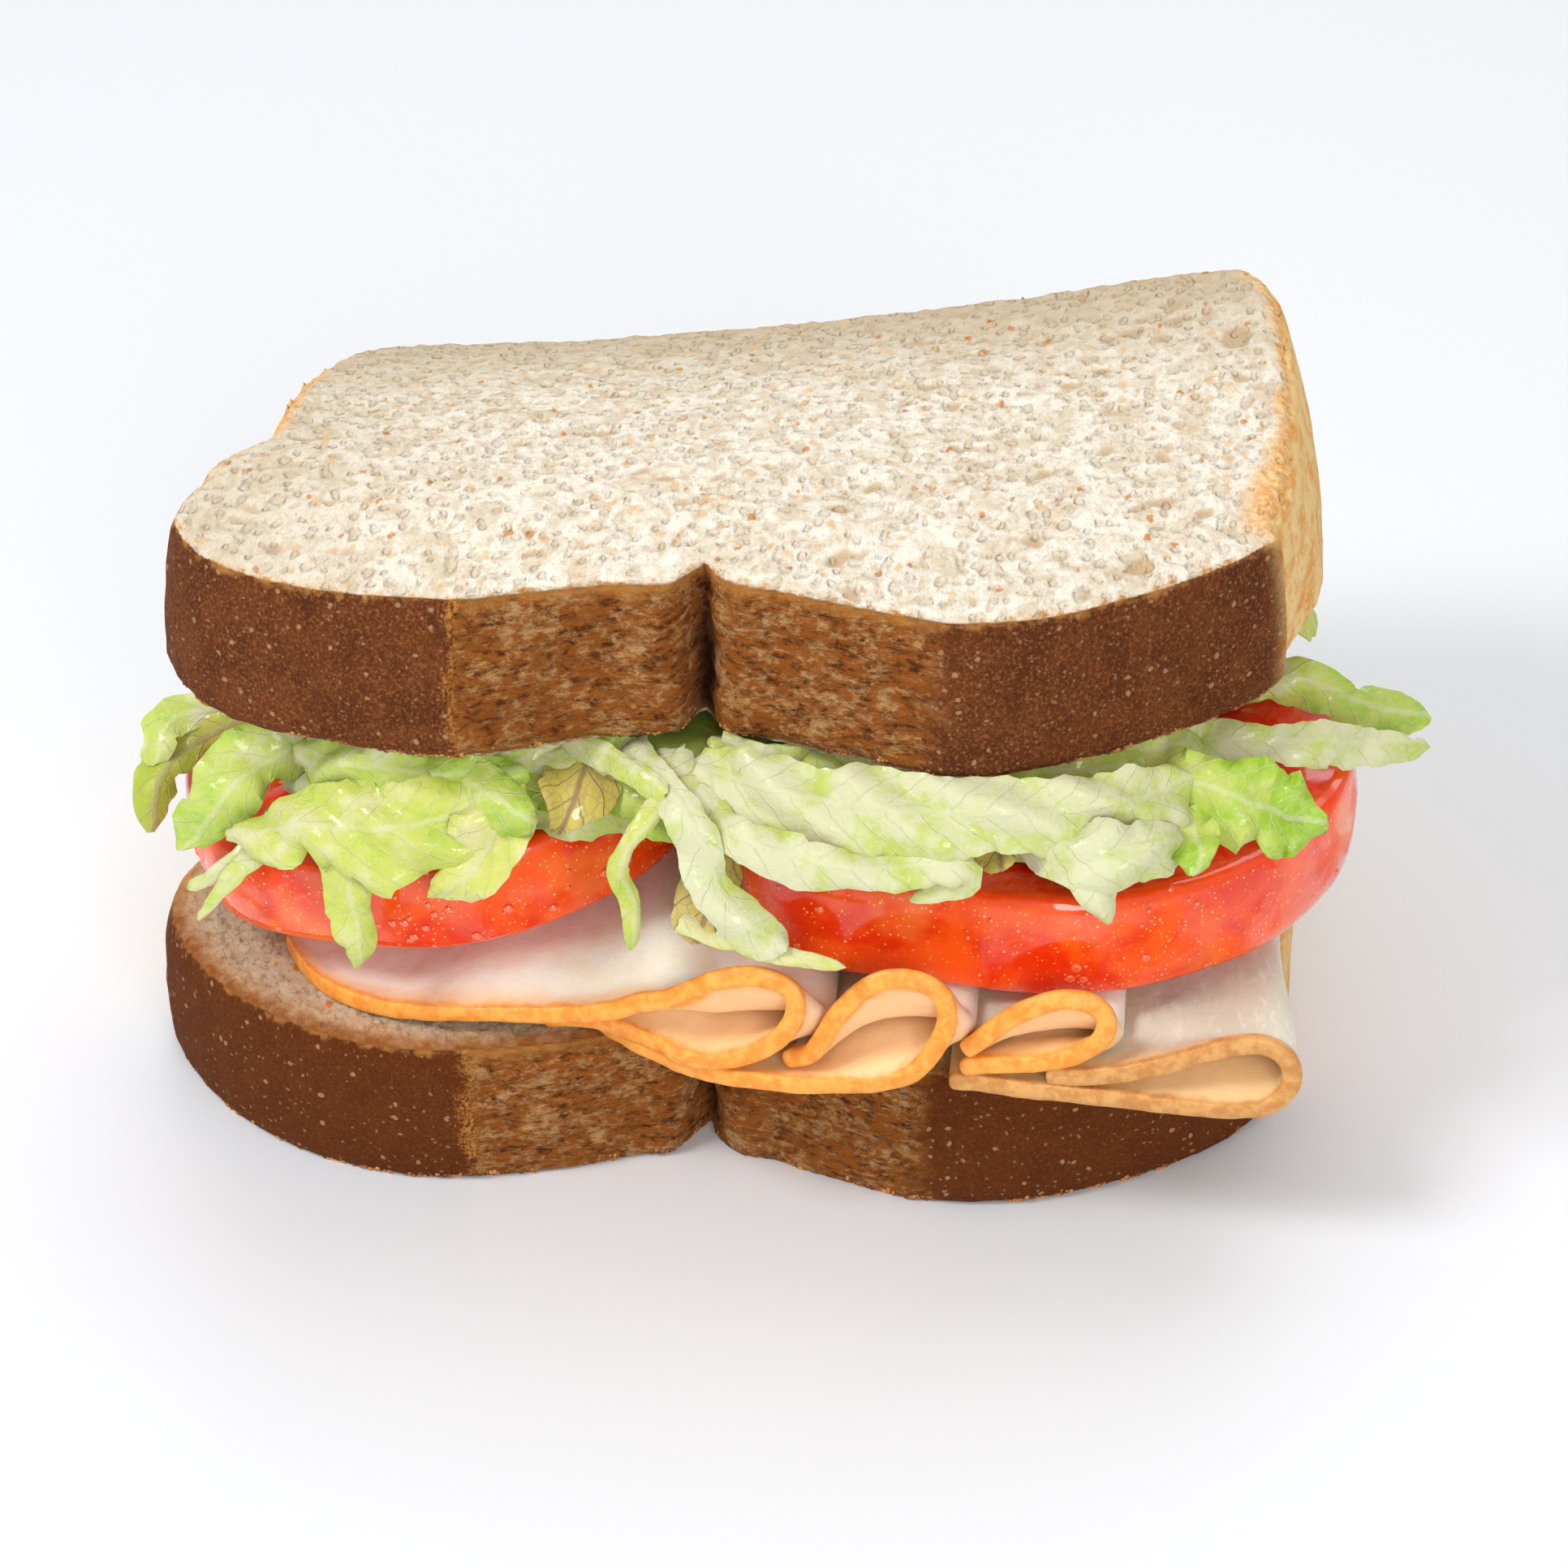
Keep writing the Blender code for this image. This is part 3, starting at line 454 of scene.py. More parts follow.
def wheat_bread():
    """Baked crust and open crumb in one surface, told apart by the marks on the mesh."""
    look = Finish("wheat_bread", 0.88, glow=0.08, glow_reach=(1.0, 0.75, 0.45))
    crumb = look.mark("crumb")
    torn = look.mark("torn")
    shade = look.mark("shade")
    gilt = look.mark("gilt")
    upright = look.squeezed((1.0, 0.58, 1.0))
    ragged = look.warped(1.1, 0.7, upright)
    torn_flecks = look.warped(0.8, 1.3, upright)
    apart = look.add("ShaderNodeSeparateXYZ")
    look.feed(apart.inputs[0], look.place)
    # Masks for painted shade on the crumb, growing towards the back and the left where the light falls off.
    back_painted_falloff = look.between(apart.outputs[1], 4 * MM, 52 * MM)
    left_painted_falloff = look.between(apart.outputs[0], -18 * MM, -58 * MM, 0.0, 0.45)
    uneven = look.times(look.sum("SUBTRACT", look.grain(1.6, 4.0, 0.6), 0.5), 3.0)
    edge_in = look.sum("ADD", look.mark("from_edge"), uneven)

    soft = look.grain(3.0, 5.0, 0.7, 0.8, upright)
    fine = look.grain(0.8, 3.0, 0.62, 0.0, upright)
    bubbles = look.between(look.cells(1.3, "SMOOTH_F1", ragged), 0.44, 0.12)
    clusters = look.between(look.grain(8.0, 2.0, 0.5, 0.6), 0.4, 0.64, 0.15, 0.9)
    tan = look.between(look.grain(0.9, 4.0, 0.7, 1.0, upright), 0.6, 0.68)
    tan_band = look.between(edge_in, look.sum("ADD", look.times(shade, 4.0), 0.9), 0.2)
    gold_line = look.between(edge_in, look.sum("ADD", look.times(shade, 2.0), 0.5), 0.0)
    gold_grain = look.blend(look.between(look.grain(0.9, 5.0, 0.7), 0.4, 0.62), PAN_BROWN, PAN_GOLD)
    crumb_colour = look.coated(
        CREAM,
        (look.between(soft, 0.4, 0.64), CREAM_SHADE),
        # Painted shade in the pores and between the small lumps.
        (look.between(fine, 0.5, 0.3, 0.0, 0.6), PAINTED_PORE_SHADE),
        (look.times(bubbles, 0.3), PAINTED_PORE_SHADE),
        (look.between(look.mark("pit"), 0.08, 0.42, 0.0, 0.9), PAINTED_PORE_SHADE),
        # Painted shade towards the back and the left, where the light falls off.
        (look.times(back_painted_falloff, 0.85), PAINTED_FALLOFF_SHADE),
        (left_painted_falloff, PAINTED_FALLOFF_SHADE),
        (look.times(tan, clusters), BRAN_PALE),
        # The lower slice's crumb: a moister tan with painted shade from the fillings above it.
        (look.times(shade, 0.62), LOWER_TAN_AND_PAINTED_SHADE),
        # Painted shade in the lower slice's pores.
        (look.times(shade, look.between(fine, 0.5, 0.38, 0.0, 0.5)), LOWER_PAINTED_PORE_SHADE),
        (look.times(look.some_cells(1.9, 0.2, 0.34, 0.3, torn_flecks), 0.6), BRAN_PALE),
        (look.times(look.some_cells(2.4, 0.1, 0.22, 0.34, torn_flecks), 0.85), BRAN),
        (look.times(tan_band, look.sum("ADD", look.times(shade, 0.25), 0.45)),
         look.blend(shade, BRAN_PALE, LOWER_BAND)),
        (look.times(gold_line, 0.95), look.blend(shade, EDGE_GOLD, LOWER_EDGE)),
        (look.times(look.mark("rind"), 0.9), gold_grain))

    sand = look.grain(0.36, 4.0, 0.72)
    small_specks = look.some_cells(0.85, 0.14, 0.28, 0.5, ragged)
    specks = look.some_cells(1.7, 0.13, 0.22, 0.5, ragged)
    baked = look.coated(
        CRUST_DARK,
        (look.between(look.grain(4.4, 5.0, 0.66), 0.34, 0.62, 0.35, 1.0), CRUST),
        (look.between(sand, 0.5, 0.66, 0.0, 0.85), CRUST_LIGHT),
        (look.between(sand, 0.48, 0.34, 0.0, 0.8), CRUST_DARK),
        (look.times(shade, 0.65), CRUST_LOWER),
        (look.times(small_specks, 0.42), SPECK),
        (look.times(specks, 0.6), SPECK))
    streaks = look.grain(0.8, 6.0, 0.76, 0.3, look.squeezed((0.42, 0.42, 1.0)))
    pale_bits = look.grain(0.7, 6.0, 0.78, 0.3, look.squeezed((0.5, 0.5, 1.0)))
    pale_bits = look.sum("ADD", pale_bits, look.times(look.grain(4.0, 2.0, 0.5), 0.35))
    ripped = look.coated(
        TORN_DARK,
        (look.between(streaks, 0.36, 0.54), TORN_MID),
        (look.times(look.between(pale_bits, 0.64, 0.84), 0.85), TORN_LIGHT),
        (look.times(look.between(edge_in, 1.9, 0.2, 0.0, 0.95), gilt), TORN_GOLD))
    pan_place = look.squeezed((1.0, 0.5, 1.0))
    golden = look.coated(
        PAN_BROWN,
        (look.between(look.grain(2.6, 6.0, 0.72, 0.0, pan_place), 0.36, 0.58), PAN_GOLD),
        (look.times(look.some_cells(0.8, 0.12, 0.34, 0.6, pan_place), 0.9), PAN_DOT))
    crust = look.coated(
        baked,
        (torn, ripped),
        (look.times(look.between(edge_in, 0.8, 0.0, 0.0, 0.6), gilt), EDGE_GOLD),
        (look.times(look.mark("break_line"), look.between(sand, 0.42, 0.6)), TORN_GOLD),
        (look.times(look.mark("pan"), 0.97), golden),
        # Painted shade deep in the split.
        (look.between(look.mark("cleft"), 0.25, 0.8, 0.0, 0.95), PAINTED_CLEFT_SHADE))
    look.colour(look.blend(look.between(crumb, 0.35, 0.75), crust, crumb_colour))

    sunken = look.times(crumb, look.sum("SUBTRACT", look.times(shade, 0.5), 1.0))
    grit = look.times(look.sum("ADD", specks, small_specks), look.between(crumb, 0.5, 0.2))
    bumps = look.relief(look.times(bubbles, sunken), 0.42)
    bumps = look.relief(look.grain(0.5, 5.0, 0.72, 0.0, upright), 0.42, bumps)
    bumps = look.relief(grit, 0.12, bumps)
    bumps = look.relief(look.times(streaks, torn), 0.9, bumps)
    look.set(Normal=bumps, Specular_IOR_Level=0.14)
    return look.material


bread_look = wheat_bread()
# The number after each node marks the lower slice: its crumb gets painted shade from the fillings above it,
# and its crust and crumb edge deeper colours.
for bread_node, bread_shade, bread_seed in (("bread_top", 0.0, 3), ("bread_bottom", 1.0, 8)):
    slice_piece = bread_piece("dressed_" + bread_node, bread_node, bread_seed, bread_shade)
    slice_piece.data.materials.append(bread_look)
    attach(slice_piece, "root")
    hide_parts(bread_node)

# The folded turkey.
# Thin slices of roast turkey breast, each folded over so that its rim shows at the front as a loop:
# moist pale meat with a roasted golden rim, laid on the bottom slice under the tomatoes.
SLICE_TOP = 17.0
TURKEY_SHEET = 1.5
TURKEY_LAYER = SLICE_TOP + 0.35 + TURKEY_SHEET / 2
TURKEY_SECOND = TURKEY_LAYER + TURKEY_SHEET + 0.35
TURKEY_THIRD = TURKEY_SECOND + TURKEY_SHEET + 0.35
TURKEY_BACK = 47.0
TURKEY_STEP = 0.8
LOOPS_FRONT = 52.0
PRESSED_WITHIN = 4.5
PRESSED_ABOVE = 22.0
RIM_STEPS = (0.0, 0.35, 0.8, 1.4)
RIM_STEPS_END = 24
RIM_STEPS_LENGTH = 24.6
RIM_STEPS_SHARE = 0.26
BACK_STEPS = (0.34, 0.42, 0.5, 0.6, 0.7, 0.8, 0.9, 0.96, 1.0)
LOOP_ROOM = 2.3
FOLDS = {
    "turkey_1": (3.0, (
        (-45.8, TURKEY_LAYER, -31.0), (-42.4, TURKEY_LAYER, -36.6), (-37.6, TURKEY_LAYER + 0.1, -40.9),
        (-30.0, TURKEY_LAYER + 0.9, -44.2), (-22.0, TURKEY_SECOND + 0.4, -45.6), (-13.0, 22.8, -48.0),
        (-4.5, 27.6, -50.2), (2.6, 31.0, -51.6), (7.4, 31.6, -52.0), (10.4, 29.8, -52.0),
        (10.6, 26.4, -52.0), (8.4, 22.9, -52.0), (4.0, TURKEY_SECOND + 0.5, -52.0),
        (-1.0, TURKEY_SECOND, -51.2), (-7.0, TURKEY_SECOND, -48.4), (-13.0, TURKEY_SECOND, -45.4),
        (-19.0, TURKEY_LAYER + 0.3, -43.0))),
    "turkey_2": (2.2, (
        (8.6, TURKEY_SECOND, -50.2), (12.2, 21.6, -51.4), (15.4, 27.6, -51.8), (18.6, 31.2, -52.0),
        (22.4, 32.1, -52.0), (25.4, 30.8, -52.0), (26.3, 27.2, -52.0), (25.0, 23.0, -52.0),
        (22.4, 19.6, -52.0), (17.4, TURKEY_LAYER + 0.1, -52.0), (6.5, TURKEY_LAYER, -51.8),
        (-1.0, TURKEY_LAYER, -50.2), (-7.5, TURKEY_LAYER, -47.0), (-13.0, TURKEY_LAYER, -42.6))),
    "turkey_3": (1.2, (
        (27.6, 22.2, -50.4), (32.2, 27.6, -51.4), (36.6, 30.3, -51.8), (40.4, 30.5, -51.8),
        (42.4, 28.6, -51.8), (42.0, 25.6, -51.8), (39.4, 23.2, -51.8), (36.0, TURKEY_THIRD + 0.1, -51.4),
        (31.4, TURKEY_SECOND + 1.0, -50.8), (27.2, TURKEY_SECOND, -50.2))),
    "turkey_4": (0.0, (
        (36.6, TURKEY_SECOND, -51.0), (42.0, TURKEY_SECOND + 0.7, -51.6), (48.0, 22.6, -52.2),
        (54.0, 25.5, -52.6), (58.8, 26.1, -52.6), (61.4, 23.9, -52.4), (61.4, 20.8, -52.4),
        (59.0, 18.5, -52.6), (54.0, TURKEY_LAYER, -52.8), (42.0, TURKEY_LAYER, -51.6),
        (26.6, TURKEY_LAYER, -50.0))),
}
RIM_SWELL = 2.1
RIM_FADE = 4.5
LOOP_FILL = 0.8
LOOP_FILL_REACH = 6.5
MEAT = screen_colour(253, 254, 236)
MEAT_PINK = screen_colour(252, 244, 220)
MEAT_PEACH = screen_colour(248, 200, 142)
# Painted sheen, laid in streaks along the meat's grain.
MEAT_SHEEN = screen_colour(255, 251, 244)
RIND = screen_colour(250, 172, 74)
RIND_DEEP = screen_colour(240, 144, 44)
PALE_MEAT = screen_colour(222, 220, 200)
PALE_PEACH = screen_colour(236, 196, 140)
PALE_RIND = screen_colour(218, 162, 92)
PALE_RIND_DEEP = screen_colour(198, 132, 64)


def smooth_run(knots, step):
    """Points about one step apart on a smooth curve through the knots, both ends included."""
    knots = [np.array(knot, dtype=float) for knot in knots]
    ends = [2 * knots[0] - knots[1], *knots, 2 * knots[-1] - knots[-2]]
    line = []
    for before, start, end, after in zip(ends, ends[1:], ends[2:], ends[3:]):
        pieces = max(1, round(float(np.linalg.norm((end - start)[:3])) / step))
        for index in range(pieces):
            t = index / pieces
            line.append(0.5 * (2 * start + (end - before) * t
                               + (2 * before - 5 * start + 4 * end - after) * t * t
                               + (3 * start - before - 3 * end + after) * t ** 3))
    return line + [knots[-1]]


def eased_in(value):
    """Blend smoothly from 0 to 1 as a single number goes from 0 to 1."""
    held = min(1.0, max(0.0, value))
    return held * held * (3 - 2 * held)


def turkey_place(x, height, front, reach, shift, is_upper):
    """Where a folded slice passes at one distance back from its front edge."""
    y = front + reach
    press = eased_in((y + LOOPS_FRONT) / PRESSED_WITHIN)
    over = max(0.0, height - PRESSED_ABOVE)
    ahead = 1 - eased_in(y / 20)
    kept = 0.33 + 0.62 * ahead * (1 - eased_in((x + 9) / 9))
    pressed = height - over * (1 - kept) * press
    if is_upper:
        rise = eased_in((y + 46) / 8) * eased_in((x + 34) / 12) * eased_in((3 - x) / 10)
        pressed += 3.0 * ahead * rise
    slide = shift * press * eased_in((x + 40.0) / 30.0)
    slide -= 2.0 * eased_in((x - 46.0) / 12.0) * eased_in((y + LOOPS_FRONT) / 26.0)
    return x + slide, y, pressed


def turkey_piece(name, shift, path, seed, paleness):
    """Make one folded slice as a fine sheet: a swollen ragged rim, and a loop that closes behind it."""
    edge = smooth_run(path, TURKEY_STEP)
    turn = max(range(len(edge)), key=lambda index: edge[index][0])
    reaches = list(RIM_STEPS)
    while reaches[-1] < RIM_STEPS_END:
        reaches.append(reaches[-1] + 0.9 + 0.03 * reaches[-1])
    steps_back = [reach / RIM_STEPS_LENGTH * RIM_STEPS_SHARE for reach in reaches] + list(BACK_STEPS)
    points = []
    from_rim = []
    for row, share in enumerate(steps_back):
        places = []
        for index, (x, height, front) in enumerate(edge):
            length = TURKEY_BACK - 0.5 * (front + LOOPS_FRONT) + 1.2 * math.sin(0.35 * index) - front
            reach = share * length
            places.append(turkey_place(x, height, front, reach, shift, index < turn))
            from_rim.append(reach)
        over_x = [place[0] for place in places[:turn + 1]]
        over_z = [place[2] for place in places[:turn + 1]]
        for index, (x, y, height) in enumerate(places):
            reach = from_rim[row * len(edge) + index]
            if index > turn:
                room = np.interp(x, over_x, over_z) - LOOP_ROOM - height
                height += max(0.0, room) * LOOP_FILL * eased_in(reach / LOOP_FILL_REACH)
            ragged = 0.32 * noise.noise(Vector((index * 0.42, seed, 0.0)))
            ragged += 0.16 * noise.noise(Vector((index * 1.3, seed, 5.0)))
            ripple = 0.22 * noise.noise(Vector((x * 0.16, y * 0.1, height * 0.2 + seed)))
            ripple += 0.08 * noise.noise(Vector((x * 0.7, y * 0.35, seed)))
            points.append((x, y + ragged * max(0.0, 1 - reach / 5), height + ripple))
    width = len(edge)
    faces = []
    for row in range(len(steps_back) - 1):
        for index in range(width - 1):
            low = row * width + index
            faces.append((low, low + width, low + width + 1, low + 1))
    mesh = bpy.data.meshes.new(name)
    mesh.from_pydata([Vector(point) * MM for point in points], [], faces)
    store_mark(mesh, "from_rim", from_rim)
    store_mark(mesh, "paleness", [paleness] * len(points))
    # Marks the inside of each loop, which the finish fills with painted shade.
    store_mark(mesh, "inside", [eased_in((index % width - turn) / 6) for index in range(len(points))])
    item = add_to_scene(name, mesh)
    thin = item.vertex_groups.new(name="thickness")
    for index, reach in enumerate(from_rim):
        column = index % width
        swollen = TURKEY_SHEET + (RIM_SWELL - TURKEY_SHEET) * (1 - eased_in(reach / RIM_FADE))
        at_edge = column in (0, width - 1) or index < width
        thin.add([index], swollen / RIM_SWELL * (0.86 if at_edge else 1.0), "REPLACE")
    thickness = item.modifiers.new("thickness", "SOLIDIFY")
    thickness.thickness = RIM_SWELL * MM
    thickness.offset = 0.0
    thickness.vertex_group = "thickness"
    rounding = item.modifiers.new("soft rim", "SUBSURF")
    rounding.levels = 1
    rounding.render_levels = 1
    item.data = finished_mesh(item)
    item.modifiers.clear()
    item.data.shade_smooth()
    return item


def wet_film():
    """Node group for patches of moisture, which smooth a surface and stand a little above it."""
    group = bpy.data.node_groups.new("wet_film", "ShaderNodeTree")
    for name, kind in (("Place", "NodeSocketVector"), ("Patch Scale", "NodeSocketFloat"),
                       ("Dry Share", "NodeSocketFloat"), ("Dry Roughness", "NodeSocketFloat"),
                       ("Wet Roughness", "NodeSocketFloat"), ("Film", "NodeSocketFloat")):
        group.interface.new_socket(name, in_out="INPUT", socket_type=kind)
    for name in ("Roughness", "Coat Weight", "Height"):
        group.interface.new_socket(name, in_out="OUTPUT", socket_type="NodeSocketFloat")
    link = group.links.new
    inside = group.nodes.new("NodeGroupInput")
    outside = group.nodes.new("NodeGroupOutput")
    patches = group.nodes.new("ShaderNodeTexNoise")
    patches.inputs["Detail"].default_value = 3.0
    patches.inputs["Distortion"].default_value = 0.8
    link(inside.outputs["Place"], patches.inputs["Vector"])
    link(inside.outputs["Patch Scale"], patches.inputs["Scale"])
    past_dry = group.nodes.new("ShaderNodeMath")
    past_dry.operation = "SUBTRACT"
    link(patches.outputs["Fac"], past_dry.inputs[0])
    link(inside.outputs["Dry Share"], past_dry.inputs[1])
    for output, low, high in (("Roughness", "Dry Roughness", "Wet Roughness"), ("Coat Weight", None, "Film"),
                              ("Height", None, None)):
        ramp = group.nodes.new("ShaderNodeMapRange")
        ramp.interpolation_type = "SMOOTHSTEP"
        ramp.inputs["From Min"].default_value = 0.0
        ramp.inputs["From Max"].default_value = 0.14
        link(past_dry.outputs[0], ramp.inputs["Value"])
        if low:
            link(inside.outputs[low], ramp.inputs["To Min"])
        if high:
            link(inside.outputs[high], ramp.inputs["To Max"])
        link(ramp.outputs[0], outside.inputs[output])
    return group


def add_wet_film(look, place, size, dry_share, dry_roughness, wet_roughness, film):
    """Place the wet film group in a finish, feed its shader, and give back the film's height."""
    node = look.add("ShaderNodeGroup")
    node.node_tree = wet_film_group
    look.feed(node.inputs["Place"], place)
    for name, value in (("Patch Scale", 1 / (size * MM)), ("Dry Share", dry_share),
                        ("Dry Roughness", dry_roughness), ("Wet Roughness", wet_roughness), ("Film", film)):
        node.inputs[name].default_value = value
    look.set(Roughness=node.outputs["Roughness"], Coat_Weight=node.outputs["Coat Weight"])
    look.shader.inputs["Coat Roughness"].default_value = wet_roughness * 0.5
    return node.outputs["Height"]


def sliced_turkey():
    """Moist meat: pale and faintly grained, with a roasted band along its rim; painted sheen streaks the
    grain, and peach painted shade fills the loops and faces turned down.
    """
    look = Finish("sliced_turkey", 0.42, glow=0.16, glow_reach=(1.1, 0.95, 0.75))
    paleness = look.mark("paleness")
    uneven = look.times(look.sum("SUBTRACT", look.grain(2.0, 4.0, 0.6), 0.5), 1.6)
    reach = look.sum("ADD", look.mark("from_rim"), uneven)
    facing = look.add("ShaderNodeSeparateXYZ")
    look.feed(facing.inputs[0], look.add("ShaderNodeTexCoord").outputs["Normal"])
    # Painted shade inside the loops and on faces turned down, coloured peach.
    painted_loop_shade = look.sum("MAXIMUM", look.mark("inside"), look.between(facing.outputs[2], 0.1, -0.4))
    painted_sheen_streaks = look.grain(0.9, 4.0, 0.6, 0.5, look.squeezed((1.0, 0.25, 1.0)))
    peach = look.blend(paleness, MEAT_PEACH, PALE_PEACH)
    rind = look.blend(paleness, RIND, PALE_RIND)
    rind_deep = look.blend(paleness, RIND_DEEP, PALE_RIND_DEEP)
    band = look.blend(look.between(look.grain(1.6, 4.0, 0.65), 0.36, 0.62), rind_deep, rind)
    look.colour(look.coated(
        MEAT,
        (look.between(look.grain(7.0, 4.0, 0.62, 0.6), 0.38, 0.68), MEAT_PINK),
        (look.times(paleness, 0.85), PALE_MEAT),
        # Painted sheen in streaks along the grain.
        (look.between(painted_sheen_streaks, 0.5, 0.68, 0.0, 0.45), MEAT_SHEEN),
        (look.between(reach, 4.2, 0.8, 0.0, 0.85), peach),
        # Peach painted shade inside the loops and on faces turned down.
        (look.times(painted_loop_shade, 0.85), peach),
        (look.between(reach, 1.5, 0.3), band)))
    add_wet_film(look, look.squeezed((1.0, 0.6, 1.0)), 3.0, 0.56, 0.5, 0.32, 0.3)
    bumps = look.relief(look.grain(3.2, 2.0, 0.45, 0.2, look.squeezed((1.0, 0.5, 1.0))), 0.32)
    look.set(Normal=look.relief(look.grain(0.7, 3.0, 0.6), 0.05, bumps))
    return look.material


wet_film_group = wet_film()
turkey_look = sliced_turkey()
for fold_index, (fold_name, (fold_shift, fold_path)) in enumerate(FOLDS.items()):
    fold_paleness = 1.0 if fold_name == "turkey_4" else 0.0
    fold_piece = turkey_piece("folded_" + fold_name, fold_shift, fold_path, fold_index + 1, fold_paleness)
    fold_piece.data.materials.append(turkey_look)
    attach(fold_piece, "root")
    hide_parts(fold_name)

# The tomato slices.
# Two thick slices of a large ripe tomato: glossy orange-red skin round the sides, with fine golden
# dots and beads of water on it, and cut faces of red flesh with seed pockets.
TOMATO_RIM = ((0.0, 1.1), (0.012, 0.75), (0.05, 0.5), (0.14, 0.26), (0.27, 0.1), (0.45, 0.02), (0.62, 0.0),
              (0.78, 0.2), (0.9, 0.5), (0.965, 0.8), (1.0, 1.25))
TOMATO_SIDES = 300
TOMATO_RINGS = (0.965, 0.93, 0.88, 0.82, 0.75, 0.67, 0.58, 0.49, 0.4, 0.31, 0.22, 0.13, 0.05)
POCKET_START = 0.24
POCKET_END = 0.8
POCKET_DEPTH = 0.5
TOMATOES = {
    "tomato_left": ((28.0, 31.6, 31.8), (math.radians(-90), 0.2), (-26.5, -12.2, 27.6), 10.0, 0.19),
    "tomato_right": ((33.6, 31.0, 32.2), (math.radians(-140), 2.2), (33.8, -13.4, 26.6), 11.6, 0.0),
}
SKIN = screen_colour(255, 92, 20)
SKIN_DEEP = screen_colour(232, 50, 2)
SKIN_ORANGE = screen_colour(255, 136, 60)
GOLD_DOT = screen_colour(255, 190, 96)
FLESH = screen_colour(250, 38, 6)
FLESH_PALE = screen_colour(255, 80, 32)
FLESH_DEEP = screen_colour(218, 24, 4)
SEED_GEL = screen_colour(240, 58, 12)
SEED = screen_colour(246, 190, 120)


def tomato_radius(angle, radii, corner):
    """Radius of a tomato slice's outline at an angle, squarer towards one front corner."""
    right, left, depth = radii
    across = right if math.cos(angle) > 0 else left
    facing = max(0.0, math.cos(angle - corner[0]))
    power = 2.1 + corner[1] * facing * facing
    spread = (abs(math.cos(angle)) / across) ** power + (abs(math.sin(angle)) / depth) ** power
    lobes = 0.5 * math.cos(5 * angle + 0.8) + 0.3 * math.cos(8 * angle)
    return spread ** (-1 / power) + lobes


def ringed_faces(ring_count, sides):
    """Faces of a closed form made of rings of points, with its lower and upper pole as the last points."""
    poles = ring_count * sides
    last = poles - sides
    faces = []
    for index in range(sides):
        after = (index + 1) % sides
        faces.append((poles, after, index))
        faces.append((poles + 1, last + index, last + after))
        for low in range(0, last, sides):
            faces.append((low + index, low + after, low + sides + after, low + sides + index))
    return faces


def tomato_piece(name, radii, corner, centre, thickness, roll, seed):
    """Make one slice: barrel-shaped skin between two cut faces with sunken seed pockets."""
    angles = [2 * math.pi * index / TOMATO_SIDES for index in range(TOMATO_SIDES)]
    outline = [tomato_radius(angle, radii, corner) for angle in angles]
    rings = []
    marks = []

    def face_ring(share, is_top):
        """One ring of a cut face, dipped where a seed pocket lies."""
        ring = []
        dips = []
        for angle, radius in zip(angles, outline):
            wall = 0.5 + 0.5 * math.cos(5 * angle + seed)
            pocket = eased_in((share - POCKET_START) / 0.12) * eased_in((POCKET_END - share) / 0.1)
            pocket *= eased_in((wall - 0.25) / 0.3)
            bump = 0.16 * noise.noise(Vector((radius * share * math.cos(angle) * 0.3,
                                              radius * share * math.sin(angle) * 0.3, seed)))
            rise = (bump - POCKET_DEPTH * pocket) * (1 if is_top else -1)
            inside = (radius - TOMATO_RIM[-1][1]) * share
            ring.append((inside * math.cos(angle), inside * math.sin(angle),
                         (thickness if is_top else 0.0) + rise))
            dips.append((0.0, share, pocket))
        return ring, dips

    for share in reversed(TOMATO_RINGS):
        ring, dips = face_ring(share, False)
        rings.append(ring)
        marks.append(dips)
    for share, inside in TOMATO_RIM:
        ring = []
        for angle, radius in zip(angles, outline):
            wobble = 0.1 * noise.noise(Vector((math.cos(angle) * 4, math.sin(angle) * 4, share * 2 + seed)))
            nick = 0.14 * noise.noise(Vector((math.cos(angle) * 24, math.sin(angle) * 24, seed)))
            nick *= 1.0 if share in (0.0, 1.0) else 0.0
            reach = radius - inside + wobble + nick
            ring.append((reach * math.cos(angle), reach * math.sin(angle), thickness * share + nick))
        rings.append(ring)
        is_skin = 1.0 if 0.03 < share < 0.93 else 0.0
        marks.append([(is_skin, 1.0, 0.0)] * TOMATO_SIDES)
    for share in TOMATO_RINGS:
        ring, dips = face_ring(share, True)
        rings.append(ring)
        marks.append(dips)
    tilt = Euler((0.0, -math.atan(roll), 0.0)).to_matrix()
    points = [tilt @ Vector(point) + Vector(centre) for ring in rings for point in ring]
    points.append(tilt @ Vector((0, 0, 0.1)) + Vector(centre))
    points.append(tilt @ Vector((0, 0, thickness - 0.1)) + Vector(centre))
    flat_marks = [mark for ring in marks for mark in ring] + [(0.0, 0.0, 0.0)] * 2
    mesh = bpy.data.meshes.new(name)
    mesh.from_pydata([point * MM for point in points], [], ringed_faces(len(rings), TOMATO_SIDES))
    for column, mark_name in enumerate(("skin", "out", "pocket")):
        store_mark(mesh, mark_name, [mark[column] for mark in flat_marks])
    mesh.shade_smooth()
    return add_to_scene(name, mesh)


